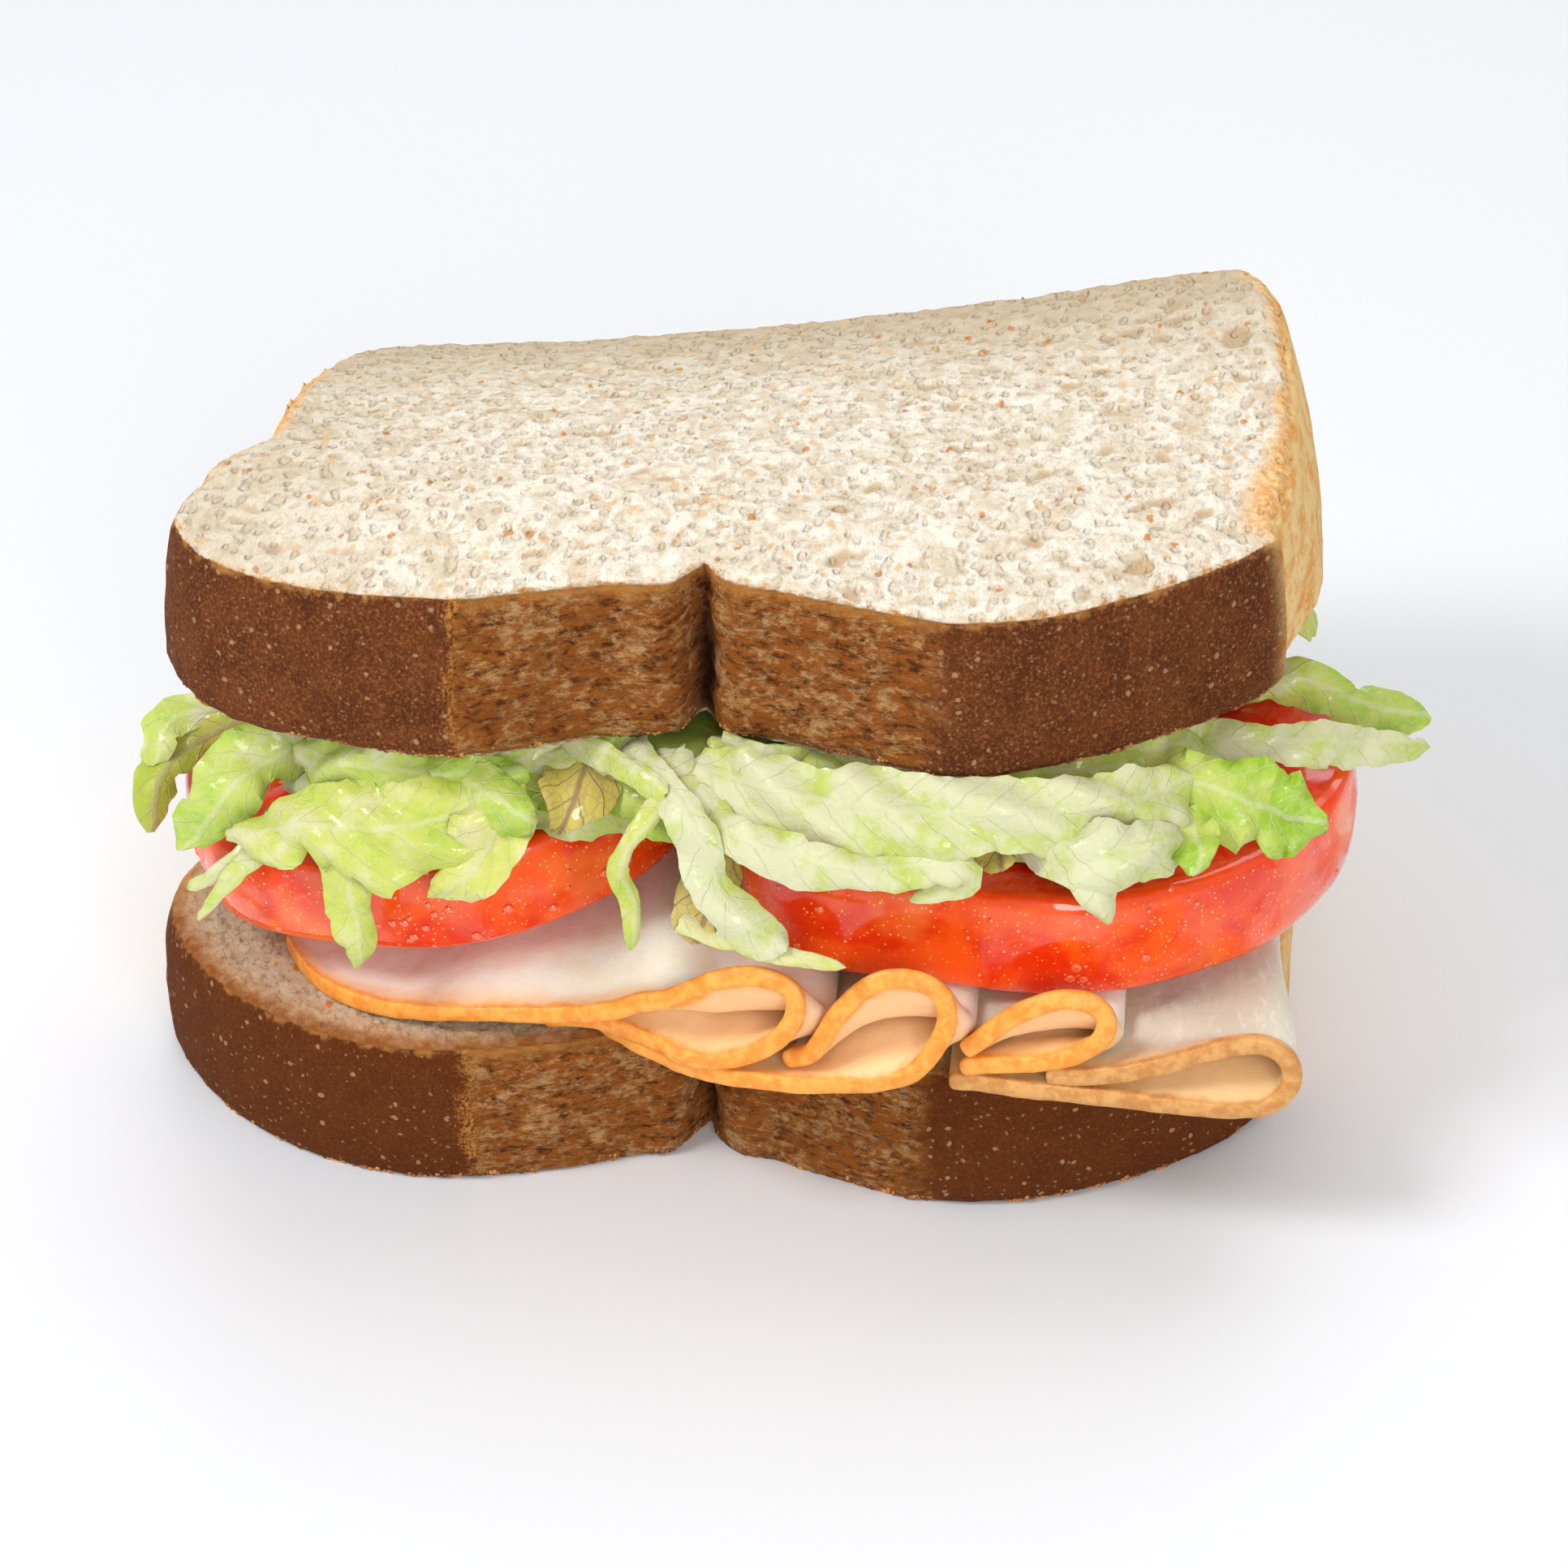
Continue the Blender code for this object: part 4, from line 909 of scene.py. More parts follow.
def ripe_tomato():
    """Glossy skin with golden dots, and moist flesh with seeds in its pockets, told apart by marks."""
    look = Finish("ripe_tomato", 0.25, glow=0.22, glow_reach=(1.8, 0.5, 0.2))
    dots = look.times(look.some_cells(0.6, 0.1, 0.24, 0.85),
                      look.between(look.grain(5.0, 2.0), 0.34, 0.58, 0.2, 0.95))
    skin = look.coated(
        SKIN_DEEP,
        (look.between(look.grain(8.0, 4.0, 0.6, 0.4), 0.34, 0.6), SKIN),
        (look.between(look.grain(10.0, 3.0, 0.55), 0.5, 0.7, 0.0, 0.55), SKIN_ORANGE),
        (look.sum("MAXIMUM", dots, look.some_cells(1.3, 0.06, 0.15, 0.6)), GOLD_DOT))
    threads = look.grain(1.1, 4.0, 0.6, 0.6)
    seeds = look.blend(look.some_cells(2.6, 0.2, 0.3, 0.8), SEED_GEL, SEED)
    look.colour(look.coated(
        FLESH,
        (look.between(threads, 0.4, 0.66), FLESH_PALE),
        (look.between(look.grain(6.0, 3.0), 0.42, 0.62, 0.0, 0.7), FLESH_DEEP),
        (look.between(look.mark("out"), 0.93, 0.99, 0.0, 0.5), SKIN),
        (look.mark("pocket"), seeds),
        (look.mark("skin"), skin)))
    add_wet_film(look, look.squeezed((1.0, 1.0, 1.5)), 9.0, 0.42, 0.26, 0.12, 0.75)
    look.set(Coat_IOR=1.6, Normal=look.relief(threads, 0.025), Specular_IOR_Level=0.25)
    return look.material


tomato_look = ripe_tomato()
for tomato_index, (tomato_node, tomato_shape) in enumerate(TOMATOES.items()):
    tomato = tomato_piece("cut_" + tomato_node, *tomato_shape, tomato_index + 2)
    tomato.data.materials.append(tomato_look)
    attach(tomato, "root")
    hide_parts(tomato_node)

# The lettuce.
# Torn iceberg and green leaf, heaped between the tomatoes and the top slice: pale crisp ribs, thin
# wavy blades that droop over the tomatoes at the front, and layered edges at the sides and the back.
# Each front piece is a spine of x, y, z and width, then its kind and how far it bulges.
FRONT_PIECES = {
    "loop_left": (((-43, -16, 42, 4), (-56, -18, 39.6, 4.2), (-60.2, -20, 38.2, 4.4),
                   (-60.8, -22.5, 34.6, 3.4)), "pale", 0.1),
    "olive_left": (((-43, -17, 41, 4), (-56, -19, 37, 5), (-60.4, -24, 33.5, 5.4),
                    (-60.6, -27, 29, 2.8)), "olive", 0.2),
    "green_left": (((-40, -28, 45, 6), (-48, -34.5, 42.4, 7.6), (-52, -36.5, 38, 7),
                    (-55.5, -37, 33.6, 2.2)), "green", 0.15),
    "green_under": (((-42, -36, 46, 4), (-36, -42, 48, 5), (-26, -44, 48.5, 5), (-17, -43, 48.8, 4)),
                    "green", 0.1),
    "shred_left_a": (((-44, -35, 38, 3), (-49, -38.5, 33.4, 2.2), (-54.4, -38, 29.4, 1.2)), "pale", 0.1),
    "shred_left_b": (((-43, -36, 37, 3), (-48, -40, 34, 2.2), (-52.8, -41, 27.6, 1.2)), "pale", 0.1),
    "big_yellow": (((-49.5, -39.5, 37.4, 1.2), (-45.5, -42.5, 39.4, 5.6), (-39.4, -45.5, 42.4, 8.8),
                    (-31.5, -47.5, 43.8, 10.4), (-24, -47, 45.8, 9), (-17.5, -43, 48.6, 5)), "yellow", 0.22),
    "light_curl": (((-26, -42, 47.5, 5), (-20.4, -47, 48.2, 6.4), (-16, -49, 46.4, 5)), "green", 0.25),
    "tongue": (((-36.5, -43.5, 43.4, 4), (-35.8, -47.4, 37, 5), (-34.8, -48.4, 31.6, 5),
                (-35, -48, 27.4, 0.6)), "yellow", 0.16),
    "crumpled": (((-20.5, -45, 48.2, 6), (-20.4, -48.6, 45.6, 8.2), (-23, -49.4, 41, 6.4),
                  (-26.8, -49, 37.4, 1.2)), "gold", 0.12),
    "veined": (((-12, -38, 48.5, 7), (-12.5, -43.5, 47.6, 8.6), (-14, -47, 44.6, 4)), "brown", 0.08),
    "pale_cross": (((-14, -38, 50, 3), (-7.6, -43, 50.6, 2.8), (-2.6, -47.5, 50, 2.6)), "pale", 0.15),
    "strand": (((1, -42, 48.6, 3), (-4, -48.6, 48.4, 2.3), (-7.3, -50.4, 43, 2.3), (-6.1, -50.4, 38.7, 2.2),
                (-6, -50.4, 33, 1.2)), "strand", 0.2),
    "thick_strip": (((-7, -39, 50.6, 3.6), (-1.6, -48, 49.4, 3.8), (1, -50, 45.6, 4.2), (3, -51, 40.6, 4.6),
                     (6.2, -52, 37.2, 5.4), (10, -52.4, 35.4, 4.4)), "rib", 0.2),
    "brown_veined": (((2.6, -42, 44, 5), (1.4, -47.6, 38.6, 6.4), (0.2, -50.4, 34.2, 4.6)), "brown", 0.1),
    "flat_shred": (((-1, -49, 36, 3), (4.2, -51, 35, 2.3), (10.8, -52.4, 34.3, 1.8), (16, -52.8, 33.9, 0.8)),
                   "gold", 0.05),
    "sheet": (((0, -42, 49.6, 5), (8, -45.6, 49.6, 8), (19, -47.4, 49, 9.4), (32, -48, 49.6, 8),
               (44.4, -43.6, 49, 7.6), (50, -38, 48.6, 5)), "sheet", 0.2),
    "ribbon": (((0, -44, 48.4, 4), (4.4, -49.6, 46.6, 4.6), (12.4, -51, 44.8, 5), (19.2, -51, 44.2, 4.4),
                (25.6, -50.6, 44.8, 3.4), (28, -50.4, 43.4, 3), (22.4, -50.8, 41, 1.2)), "sheet", 0.25),
    "tan_piece": (((30.6, -45, 46.6, 4), (31, -49, 43.6, 4)), "brown", 0.1),
    "rib_chunk": (((34, -43, 45.6, 6), (39.2, -49.2, 46.4, 7.2), (44.8, -48.8, 46.6, 7), (49.8, -44, 45, 5)),
                  "rib", 0.25),
    "rib_tongue": (((40, -45, 46, 5), (41, -50.4, 43.6, 5), (42.4, -51.2, 39.8, 1.6)), "rib", 0.2),
    "ruffled": (((47, -36, 48, 5), (53.4, -39.6, 47.8, 9), (59, -40, 45.8, 9.4), (64, -39, 44.4, 3.6)),
                "bright", 0.15),
    "lace_right": (((49, -40, 46.4, 4), (50.6, -46, 45.6, 5), (50.4, -47.8, 43.6, 2.4)), "bright", 0.1),
    "long_right_a": (((46, -12, 45, 5), (61, -13, 45.6, 4.6), (68, -12.6, 42.6, 5.4), (75.4, -11, 40.6, 3)),
                     "green", 0.2),
    "long_right_b": (((45, -26, 46, 5), (60, -26, 46, 4.6), (68.4, -21.6, 43.6, 4.4),
                      (75, -17.6, 41.4, 2.4)), "sheet", 0.2),
}
# For each kind: green at the root and the tip, yellow, brown, rib thickness in millimetres, edge ruffle,
# and depth of the folds.
LEAF_KINDS = {
    "pale": (0.05, 0.4, 0.1, 0.0, 0.25, 0.4, 0.7),
    "sheet": (0.0, 0.3, 0.1, 0.0, 0.2, 0.4, 0.8),
    "green": (0.3, 0.85, 0.05, 0.0, 0.25, 0.7, 1.0),
    "bright": (0.5, 1.1, 0.15, 0.0, 0.2, 1.3, 0.9),
    "yellow": (0.3, 0.65, 0.45, 0.0, 0.3, 0.5, 0.8),
    "gold": (0.1, 0.3, 0.7, 0.03, 0.2, 1.0, 1.1),
    "strand": (0.2, 0.6, 0.5, 0.0, 0.15, 0.5, 0.8),
    "rib": (-0.1, 0.15, 0.05, 0.0, 0.7, 0.3, 0.8),
    "olive": (0.6, 0.9, 0.3, 0.35, 0.3, 0.4, 0.5),
    "brown": (0.35, 0.5, 0.6, 0.9, 0.3, 0.3, 0.5),
}
FRONT_FACING = Vector((0.0, -0.85, 0.52))
BLADE = 0.36
LEAF_STEP = 0.75
LEAF_CLEARANCE = 0.45
TOP_UNDERSIDE = 52.2
SAG_START = -28.5
SAG_RUN = 75.0
EDGE_LEAVES = 15
EDGE_SEED = 12
EDGE_START = -12
EDGE_SPAN = 206
EDGE_RIGHT = 56.0
EDGE_LEFT = 49.0
EDGE_BACK = 46.0
EDGE_WIDTHS = (3.4, 5.5, 8.0, 11.0)
EDGE_ROOM = 1.4
EDGE_BULGE = 0.15
EDGE_KINDS = ("pale", "green", "bright", "sheet", "yellow")
LAYER_SHREDS = 150
LAYER_SEED = 5
LAYER_BULGE = 0.2
LAYER_KINDS = ("pale", "green", "bright", "sheet", "yellow", "rib", "green")
CORE_OUTLINE = (51.0, 39.5, 42.5)
CORE_MIDDLE = 1.5
CORE_GIRTH = 46
CORE_SQUARE = 3.2
CORE_SIDES = 180
CORE_RINGS = (0.2, 0.4, 0.6, 0.72, 0.82, 0.9, 0.95, 0.98)
CORE_RIM_KEPT = 0.6
CORE_ROOM = 1.2
# The last of the core's marks darkens it with painted shade, for the gaps in the heap.
CORE_MARKS = (0.9, 0.2, 0.1, 0.75)
LEAF_MARKS = ("leaf_green", "leaf_yellow", "leaf_brown", "painted_shade")
LEAF_CRISP_ANGLE = math.radians(50)
VEIN_STEP = 3.3
LEAF_WHITE = screen_colour(208, 209, 170)
LEAF_LIGHT = screen_colour(184, 199, 96)
LEAF_GREEN = screen_colour(144, 186, 40)
LEAF_DEEP = screen_colour(88, 134, 28)
LEAF_YELLOW = screen_colour(218, 206, 88)
LEAF_BROWN = screen_colour(192, 160, 72)
LEAF_VEIN_BROWN = screen_colour(124, 76, 38)
# Painted shade for the gaps between the leaves, laid on the heap's core.
PAINTED_HEAP_SHADE = screen_colour(72, 78, 30)


def top_slice_drop(x, y):
    """How far the top slice has sagged at a place, against its flat front."""
    run = min(1.0, max(0.0, (y - SAG_START) / SAG_RUN))
    return max(0.0, 14.8 - 0.14 * x - 0.0011 * x * x) * run ** 1.5


def heap_floor(x, y):
    """Lowest height that is free for lettuce inside the stack."""
    left = 27.6 + 0.19 * (min(x, 3) + 26.5) + 10.0
    tomato_top = max(38.2, left - 0.5 * max(0, x - 14))
    behind = eased_in((y - 25.5) / 9)
    return tomato_top + 1.0 - behind * (tomato_top - 28.0)


def core_reach(angle):
    """How far the heap's core reaches at an angle."""
    side, front, back = CORE_OUTLINE
    depth = back if math.sin(angle) > 0 else front
    spread = (abs(math.cos(angle)) / side) ** CORE_SQUARE + (abs(math.sin(angle)) / depth) ** CORE_SQUARE
    ragged = 1 + 0.03 * math.sin(7 * angle) + 0.02 * math.sin(11 * angle + 1)
    return spread ** (-1 / CORE_SQUARE) * ragged


class LeafHeap:
    """Gathers leaves into one mesh, with the marks that their material reads."""

    def __init__(self, solids):
        self.solids = solids
        self.points = []
        self.faces = []
        self.marks = []
        self.thick = []
        self.spots = []

    def clear_of_food(self, point):
        """Push a point out of the bread, turkey and tomato, so that a leaf lies against them."""
        for _ in range(3):
            for tree in self.solids:
                place, normal, _, distance = tree.find_nearest(point * MM, 5 * MM)
                if place is None:
                    continue
                if (point * MM - place).dot(normal) < 0 or distance < LEAF_CLEARANCE * MM:
                    point = (place + normal * LEAF_CLEARANCE * MM) / MM
        return point

    def add_leaf(self, spine, facing, kind, bulge, rng):
        """Add one torn piece: a folded blade with ragged edges along its spine, thicker at its rib."""
        green_root, green_tip, yellow, brown, rib, ruffle, fold = LEAF_KINDS[kind]
        line = smooth_run(spine, LEAF_STEP)
        widest = max(point[3] for point in line)
        columns = max(6, int(widest / 0.62))
        seed = rng.uniform(0, 100)
        wave = rng.uniform(2.6, 4.4)
        phase = rng.uniform(0, 6.28)
        slant = rng.choice((-1, 1)) * rng.uniform(0.8, 2.2)
        pleat = rng.uniform(9.0, 14.0)
        start = len(self.points)
        length = len(line) - 1
        whole = length * LEAF_STEP
        for index, knot in enumerate(line):
            before = Vector(line[max(0, index - 1)][:3])
            after = Vector(line[min(length, index + 1)][:3])
            along = (after - before).normalized()
            across = along.cross(facing).normalized()
            lift = across.cross(along)
            travelled = index * LEAF_STEP
            to_tip = min(1.0, (whole - travelled) / (0.45 * widest) + 0.04)
            rounded = math.sqrt(1 - (1 - to_tip) ** 2)
            sides = []
            for side in (-1, 1):
                edge = 1 + 0.36 * noise.noise(Vector((travelled * 0.17, side * 4.0, seed)))
                edge += 0.16 * noise.noise(Vector((travelled * 0.5, side * 4.0, seed + 9)))
                edge += 0.07 * noise.noise(Vector((travelled * 1.5, side * 4.0, seed + 17)))
                edge -= 0.9 * max(0.0, noise.noise(Vector((travelled * 0.3, side * 4.0, seed + 41))) - 0.22)
                sides.append(edge * rounded)
            for column in range(columns + 1):
                share = 2 * column / columns - 1
                edge = sides[0] if share < 0 else sides[1]
                half = 0.5 * max(0.3, knot[3]) * edge
                out = share * half
                thin_part = min(1.0, knot[3] / 5)
                rise = bulge * knot[3] * 0.6 * (0.5 - share * share)
                frill = math.sin(2 * math.pi * travelled / wave + phase + 1.7 * share)
                frill += 0.6 * math.sin(4.6 * math.pi * travelled / wave + 2.3 * phase - share)
                rise += ruffle * frill * 0.5 * abs(share) ** 2.2 * thin_part
                wander = 1.2 * noise.noise(Vector((travelled * 0.1, out * 0.1, seed)))
                turn = 2 * math.pi * (travelled + slant * out) / pleat + phase + wander
                rise += fold * 0.6 * math.asin(0.94 * math.sin(turn)) * thin_part
                rise += 0.6 * noise.noise(Vector((travelled * 0.1, share * 0.9, seed))) * thin_part
                rise += 0.06 * noise.noise(Vector((travelled * 0.45, out * 0.8, seed + 3)))
                jag = 0.3 * noise.noise(Vector((travelled * 1.1, share * 3, seed + 30)))
                point = Vector(knot[:3]) + across * out + lift * rise + along * jag
                self.points.append(self.clear_of_food(point))
                towards_tip = index / length
                greening = max(towards_tip ** 1.3, abs(share) ** 3 * 0.85)
                tone = green_root + (green_tip - green_root) * greening
                tone += 0.2 * noise.noise(Vector((travelled * 0.12, share, seed + 20)))
                # Painted shade and highlight: the pleats' valleys a little greener, their ridges a little
                # paler.
                tone -= 0.06 * math.sin(turn) * thin_part
                self.marks.append((max(0.0, tone), yellow, brown, 0.0))
                middle = math.exp(-(share * widest / 2.4) ** 2)
                swell = BLADE + rib * middle * (1 - 0.6 * towards_tip)
                at_edge = column in (0, columns) or index in (0, length)
                self.thick.append(swell * (0.45 if at_edge else 1.0) / 2.0)
                self.spots.append((out, travelled + round(seed) * 6))
        for row in range(length):
            for column in range(columns):
                low = start + row * (columns + 1) + column
                self.faces.append((low, low + 1, low + columns + 2, low + columns + 1))

    def finish_piece(self, name):
        """Turn all gathered leaves into one object with thickness."""
        mesh = bpy.data.meshes.new(name)
        mesh.from_pydata([point * MM for point in self.points], [], self.faces)
        for column, mark_name in enumerate(LEAF_MARKS):
            store_mark(mesh, mark_name, [mark[column] for mark in self.marks])
        leaf_map = mesh.uv_layers.new(name="leaf")
        corners = np.empty(len(mesh.loops), dtype=np.int32)
        mesh.loops.foreach_get("vertex_index", corners)
        leaf_map.data.foreach_set("uv", (np.array(self.spots)[corners] * MM).ravel())
        item = add_to_scene(name, mesh)
        group = item.vertex_groups.new(name="thickness")
        for index, share in enumerate(self.thick):
            group.add([index], min(1.0, share), "REPLACE")
        thickness = item.modifiers.new("thickness", "SOLIDIFY")
        thickness.thickness = 2.0 * MM
        thickness.offset = 0.0
        thickness.vertex_group = "thickness"
        item.data = finished_mesh(item)
        item.modifiers.clear()
        item.data.shade_smooth()
        shape = bmesh.new()
        shape.from_mesh(item.data)
        for edge in shape.edges:
            edge.smooth = edge.calc_face_angle(0.0) < LEAF_CRISP_ANGLE
        shape.to_mesh(item.data)
        shape.free()
        return item


def crisp_lettuce():
    """Torn leaf: pale at the rib and greener to its edge, veined, wrinkled and moist in patches; the heap's
    core is darkened with painted shade.
    """
    look = Finish("crisp_lettuce", 0.35, glow=0.1, glow_reach=(0.7, 0.9, 0.3))
    spot = look.add("ShaderNodeUVMap", uv_map="leaf").outputs["UV"]
    ways = look.add("ShaderNodeSeparateXYZ")
    look.feed(ways.inputs[0], look.warped(2.6, 1.1, spot))
    out = look.sum("ABSOLUTE", ways.outputs[0])
    patch = look.times(look.sum("SUBTRACT", look.grain(4.0, 5.0, 0.62), 0.5), 2.0)
    green = look.sum("ADD", look.mark("leaf_green"), patch)
    brown = look.mark("leaf_brown")
    slope = look.sum("SUBTRACT", ways.outputs[1], look.times(out, 1.2))
    apart = look.sum("FRACT", look.times(slope, 1 / (VEIN_STEP * MM)))
    side_veins = look.between(look.sum("ABSOLUTE", look.sum("SUBTRACT", apart, 0.5)), 0.06, 0.0)
    veins = look.sum("MAXIMUM", side_veins, look.between(out, 0.5 * MM, 0.12 * MM))
    net = look.between(look.cells(1.5, "DISTANCE_TO_EDGE", look.warped(1.2, 0.5, spot)), 0.07, 0.0)
    fine_veins = look.sum("MAXIMUM", veins, look.times(net, 0.5))
    look.colour(look.coated(
        LEAF_WHITE,
        (look.between(green, 0.0, 0.5), LEAF_LIGHT),
        (look.between(green, 0.45, 1.1), LEAF_GREEN),
        (look.between(green, 1.1, 1.6), LEAF_DEEP),
        (look.times(look.mark("leaf_yellow"), 0.5), LEAF_YELLOW),
        (look.times(brown, 0.75), LEAF_BROWN),
        (look.times(fine_veins, 0.42), LEAF_WHITE),
        (look.times(look.times(fine_veins, brown), 0.8), LEAF_VEIN_BROWN),
        # Painted shade on the heap's core, which shows as the dark gaps in the heap.
        (look.mark("painted_shade"), PAINTED_HEAP_SHADE)))
    film = add_wet_film(look, look.place, 2.0, 0.52, 0.5, 0.14, 0.6)
    wrinkles = look.grain(0.8, 4.0, 0.6, 0.4, look.squeezed((1.0, 0.3, 1.0), spot))
    bumps = look.relief(look.sum("ADD", veins, look.times(net, 0.3)), 0.06)
    bumps = look.relief(wrinkles, 0.12, bumps)
    bumps = look.relief(look.grain(1.2, 4.0, 0.6, 0.3), 0.07, bumps)
    look.set(Coat_IOR=1.5, Normal=look.relief(film, 0.03, bumps), Specular_IOR_Level=0.3)
    return look.material


def food_tree(node):
    """Search tree over a CAD node's surface, in metres."""
    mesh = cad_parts[node].data
    polygons = [tuple(polygon.vertices) for polygon in mesh.polygons]
    return BVHTree.FromPolygons([vertex.co.copy() for vertex in mesh.vertices], polygons)


def edge_leaves(heap, leaf_rng):
    """Hang loose torn pieces out of the stack, round the sides and the back."""
    rng = random.Random(EDGE_SEED)
    for index in range(EDGE_LEAVES):
        angle = math.radians(EDGE_START + EDGE_SPAN * (index + 0.5) / EDGE_LEAVES + rng.uniform(-6, 6))
        way = Vector((math.cos(angle), math.sin(angle), 0.0))
        side = EDGE_RIGHT if way.x > 0 else EDGE_LEFT
        reach = 1 / ((abs(way.x) / side) ** 4 + (abs(way.y) / EDGE_BACK) ** 4) ** 0.25
        turn = Vector((-way.y, way.x, 0.0)) * rng.uniform(-8, 8)
        width = rng.choice(EDGE_WIDTHS)
        roof = TOP_UNDERSIDE - top_slice_drop(*(way * reach).xy) - EDGE_ROOM
        drop = rng.uniform(1.0, 8.0)
        spine = []
        for out, fall in ((-9.0, 3.0), (-3.0, 1.6), (2.0, 2.4), (rng.uniform(3.5, 9.5), 2.4 + drop)):
            place = way * (reach + out) + turn * (out / 8)
            spine.append((place.x, place.y, roof - fall, width * (0.5 if fall > 5 else 1.0)))
        facing = way * 0.5 + Vector((0, 0, 0.85))
        heap.add_leaf(spine, facing, leaf_rng.choice(EDGE_KINDS), EDGE_BULGE, leaf_rng)


def layered_shreds(heap):
    """Lay shreds round the heap's core, one over another from the fillings up to the top slice."""
    rng = random.Random(LAYER_SEED)
    for index in range(LAYER_SHREDS):
        angle = 2 * math.pi * (index + rng.random()) / LAYER_SHREDS
        way = Vector((math.cos(angle), math.sin(angle), 0.0))
        length = rng.uniform(9, 26)
        share = rng.uniform(0.08, 0.92)
        tilt = rng.uniform(-0.3, 0.3)
        width = rng.uniform(3.0, 7.5)
        spine = []
        for step, tuck in ((-0.5, -2.5), (-0.2, 0.8), (0.2, 1.0), (0.5, -2.5)):
            spot_angle = angle + step * length / CORE_GIRTH
            spot = Vector((math.cos(spot_angle), math.sin(spot_angle), 0)) * (core_reach(spot_angle) + tuck)
            spot.x += CORE_MIDDLE
            roof = TOP_UNDERSIDE - CORE_ROOM - top_slice_drop(spot.x, spot.y)
            ground = min(heap_floor(spot.x, spot.y), roof - 1.5)
            height = ground + (roof - ground) * share + tilt * step * length
            spine.append((spot.x, spot.y, min(roof, max(ground, height)), width))
        facing = way * 0.8 + Vector((0, 0, rng.uniform(0.1, 0.9)))
        heap.add_leaf(spine, facing, rng.choice(LAYER_KINDS), LAYER_BULGE, rng)


def lettuce_core():
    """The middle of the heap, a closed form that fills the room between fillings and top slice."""
    low_rings = []
    high_rings = []
    for share in CORE_RINGS:
        low_ring = []
        high_ring = []
        for index in range(CORE_SIDES):
            angle = 2 * math.pi * index / CORE_SIDES
            radius = core_reach(angle) * share
            x = radius * math.cos(angle) + CORE_MIDDLE
            y = radius * math.sin(angle)
            roof = TOP_UNDERSIDE - CORE_ROOM - top_slice_drop(x, y)
            ground = min(heap_floor(x, y) + 0.2, roof - 1.4)
            bump = abs(0.5 * noise.noise(Vector((x * 0.4, y * 0.4, 1.0))))
            kept = CORE_RIM_KEPT if share == CORE_RINGS[-1] else 1.0
            middle = (ground + roof) / 2
            low_ring.append((x, y, middle + (ground - middle) * kept + bump))
            high_ring.append((x, y, middle + (roof - middle) * kept - bump))
        low_rings.append(low_ring)
        high_rings.append(high_ring)
    rings = low_rings + high_rings[::-1]
    points = [Vector(point) * MM for ring in rings for point in ring]
    points.append(Vector((CORE_MIDDLE, 0, heap_floor(CORE_MIDDLE, 0) + 0.5)) * MM)
    points.append(Vector((CORE_MIDDLE, 0, TOP_UNDERSIDE - 1.6 - top_slice_drop(CORE_MIDDLE, 0))) * MM)
    mesh = bpy.data.meshes.new("lettuce_core")
    mesh.from_pydata(points, [], ringed_faces(len(rings), CORE_SIDES))
    # The core takes the painted shade of the gaps in the heap.
    for mark_name, value in zip(LEAF_MARKS, CORE_MARKS):
        store_mark(mesh, mark_name, [value] * len(points))
    mesh.shade_smooth()
    return add_to_scene("lettuce_core", mesh)


leaf_look = crisp_lettuce()
food_trees = [food_tree(node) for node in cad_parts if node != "lettuce"]
front_heap = LeafHeap(food_trees)
leaf_rng = random.Random(EDGE_SEED)
for piece_spine, piece_kind, piece_bulge in FRONT_PIECES.values():
    front_heap.add_leaf(piece_spine, FRONT_FACING, piece_kind, piece_bulge, leaf_rng)
edge_leaves(front_heap, leaf_rng)
layer_heap = LeafHeap(food_trees)
layered_shreds(layer_heap)
core_piece = lettuce_core()
for leaf_piece in (front_heap.finish_piece("lettuce_leaves"), layer_heap.finish_piece("lettuce_layers"),
                   core_piece):
    leaf_piece.data.materials.append(leaf_look)
    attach(leaf_piece, "root")
    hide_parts("lettuce")

# The water and the crumbs.
# Beads of water on the tomatoes' skin, and small torn crumbs along the lower edge of the crust: one
# shape strewn over a surface by a node tree, more thickly where the surface is marked for it.
BEADS = {
    "beads_tomato_left": ("cut_tomato_left", "tomato", (-31.0, -18.0), 0.95, 130, (0.18, 0.6), 4),
    "beads_tomato_right": ("cut_tomato_right", "tomato", (40.0, 54.0), 0.7, 70, (0.16, 0.6), 7),
}
BEAD_FLATNESS = 0.55
CRUMB_BITS = {
    "crumbs_top": ("dressed_bread_top", "bread_top", 900, (0.18, 0.42), 3),
    "crumbs_bottom": ("dressed_bread_bottom", "bread_bottom", 900, (0.18, 0.5), 5),
}


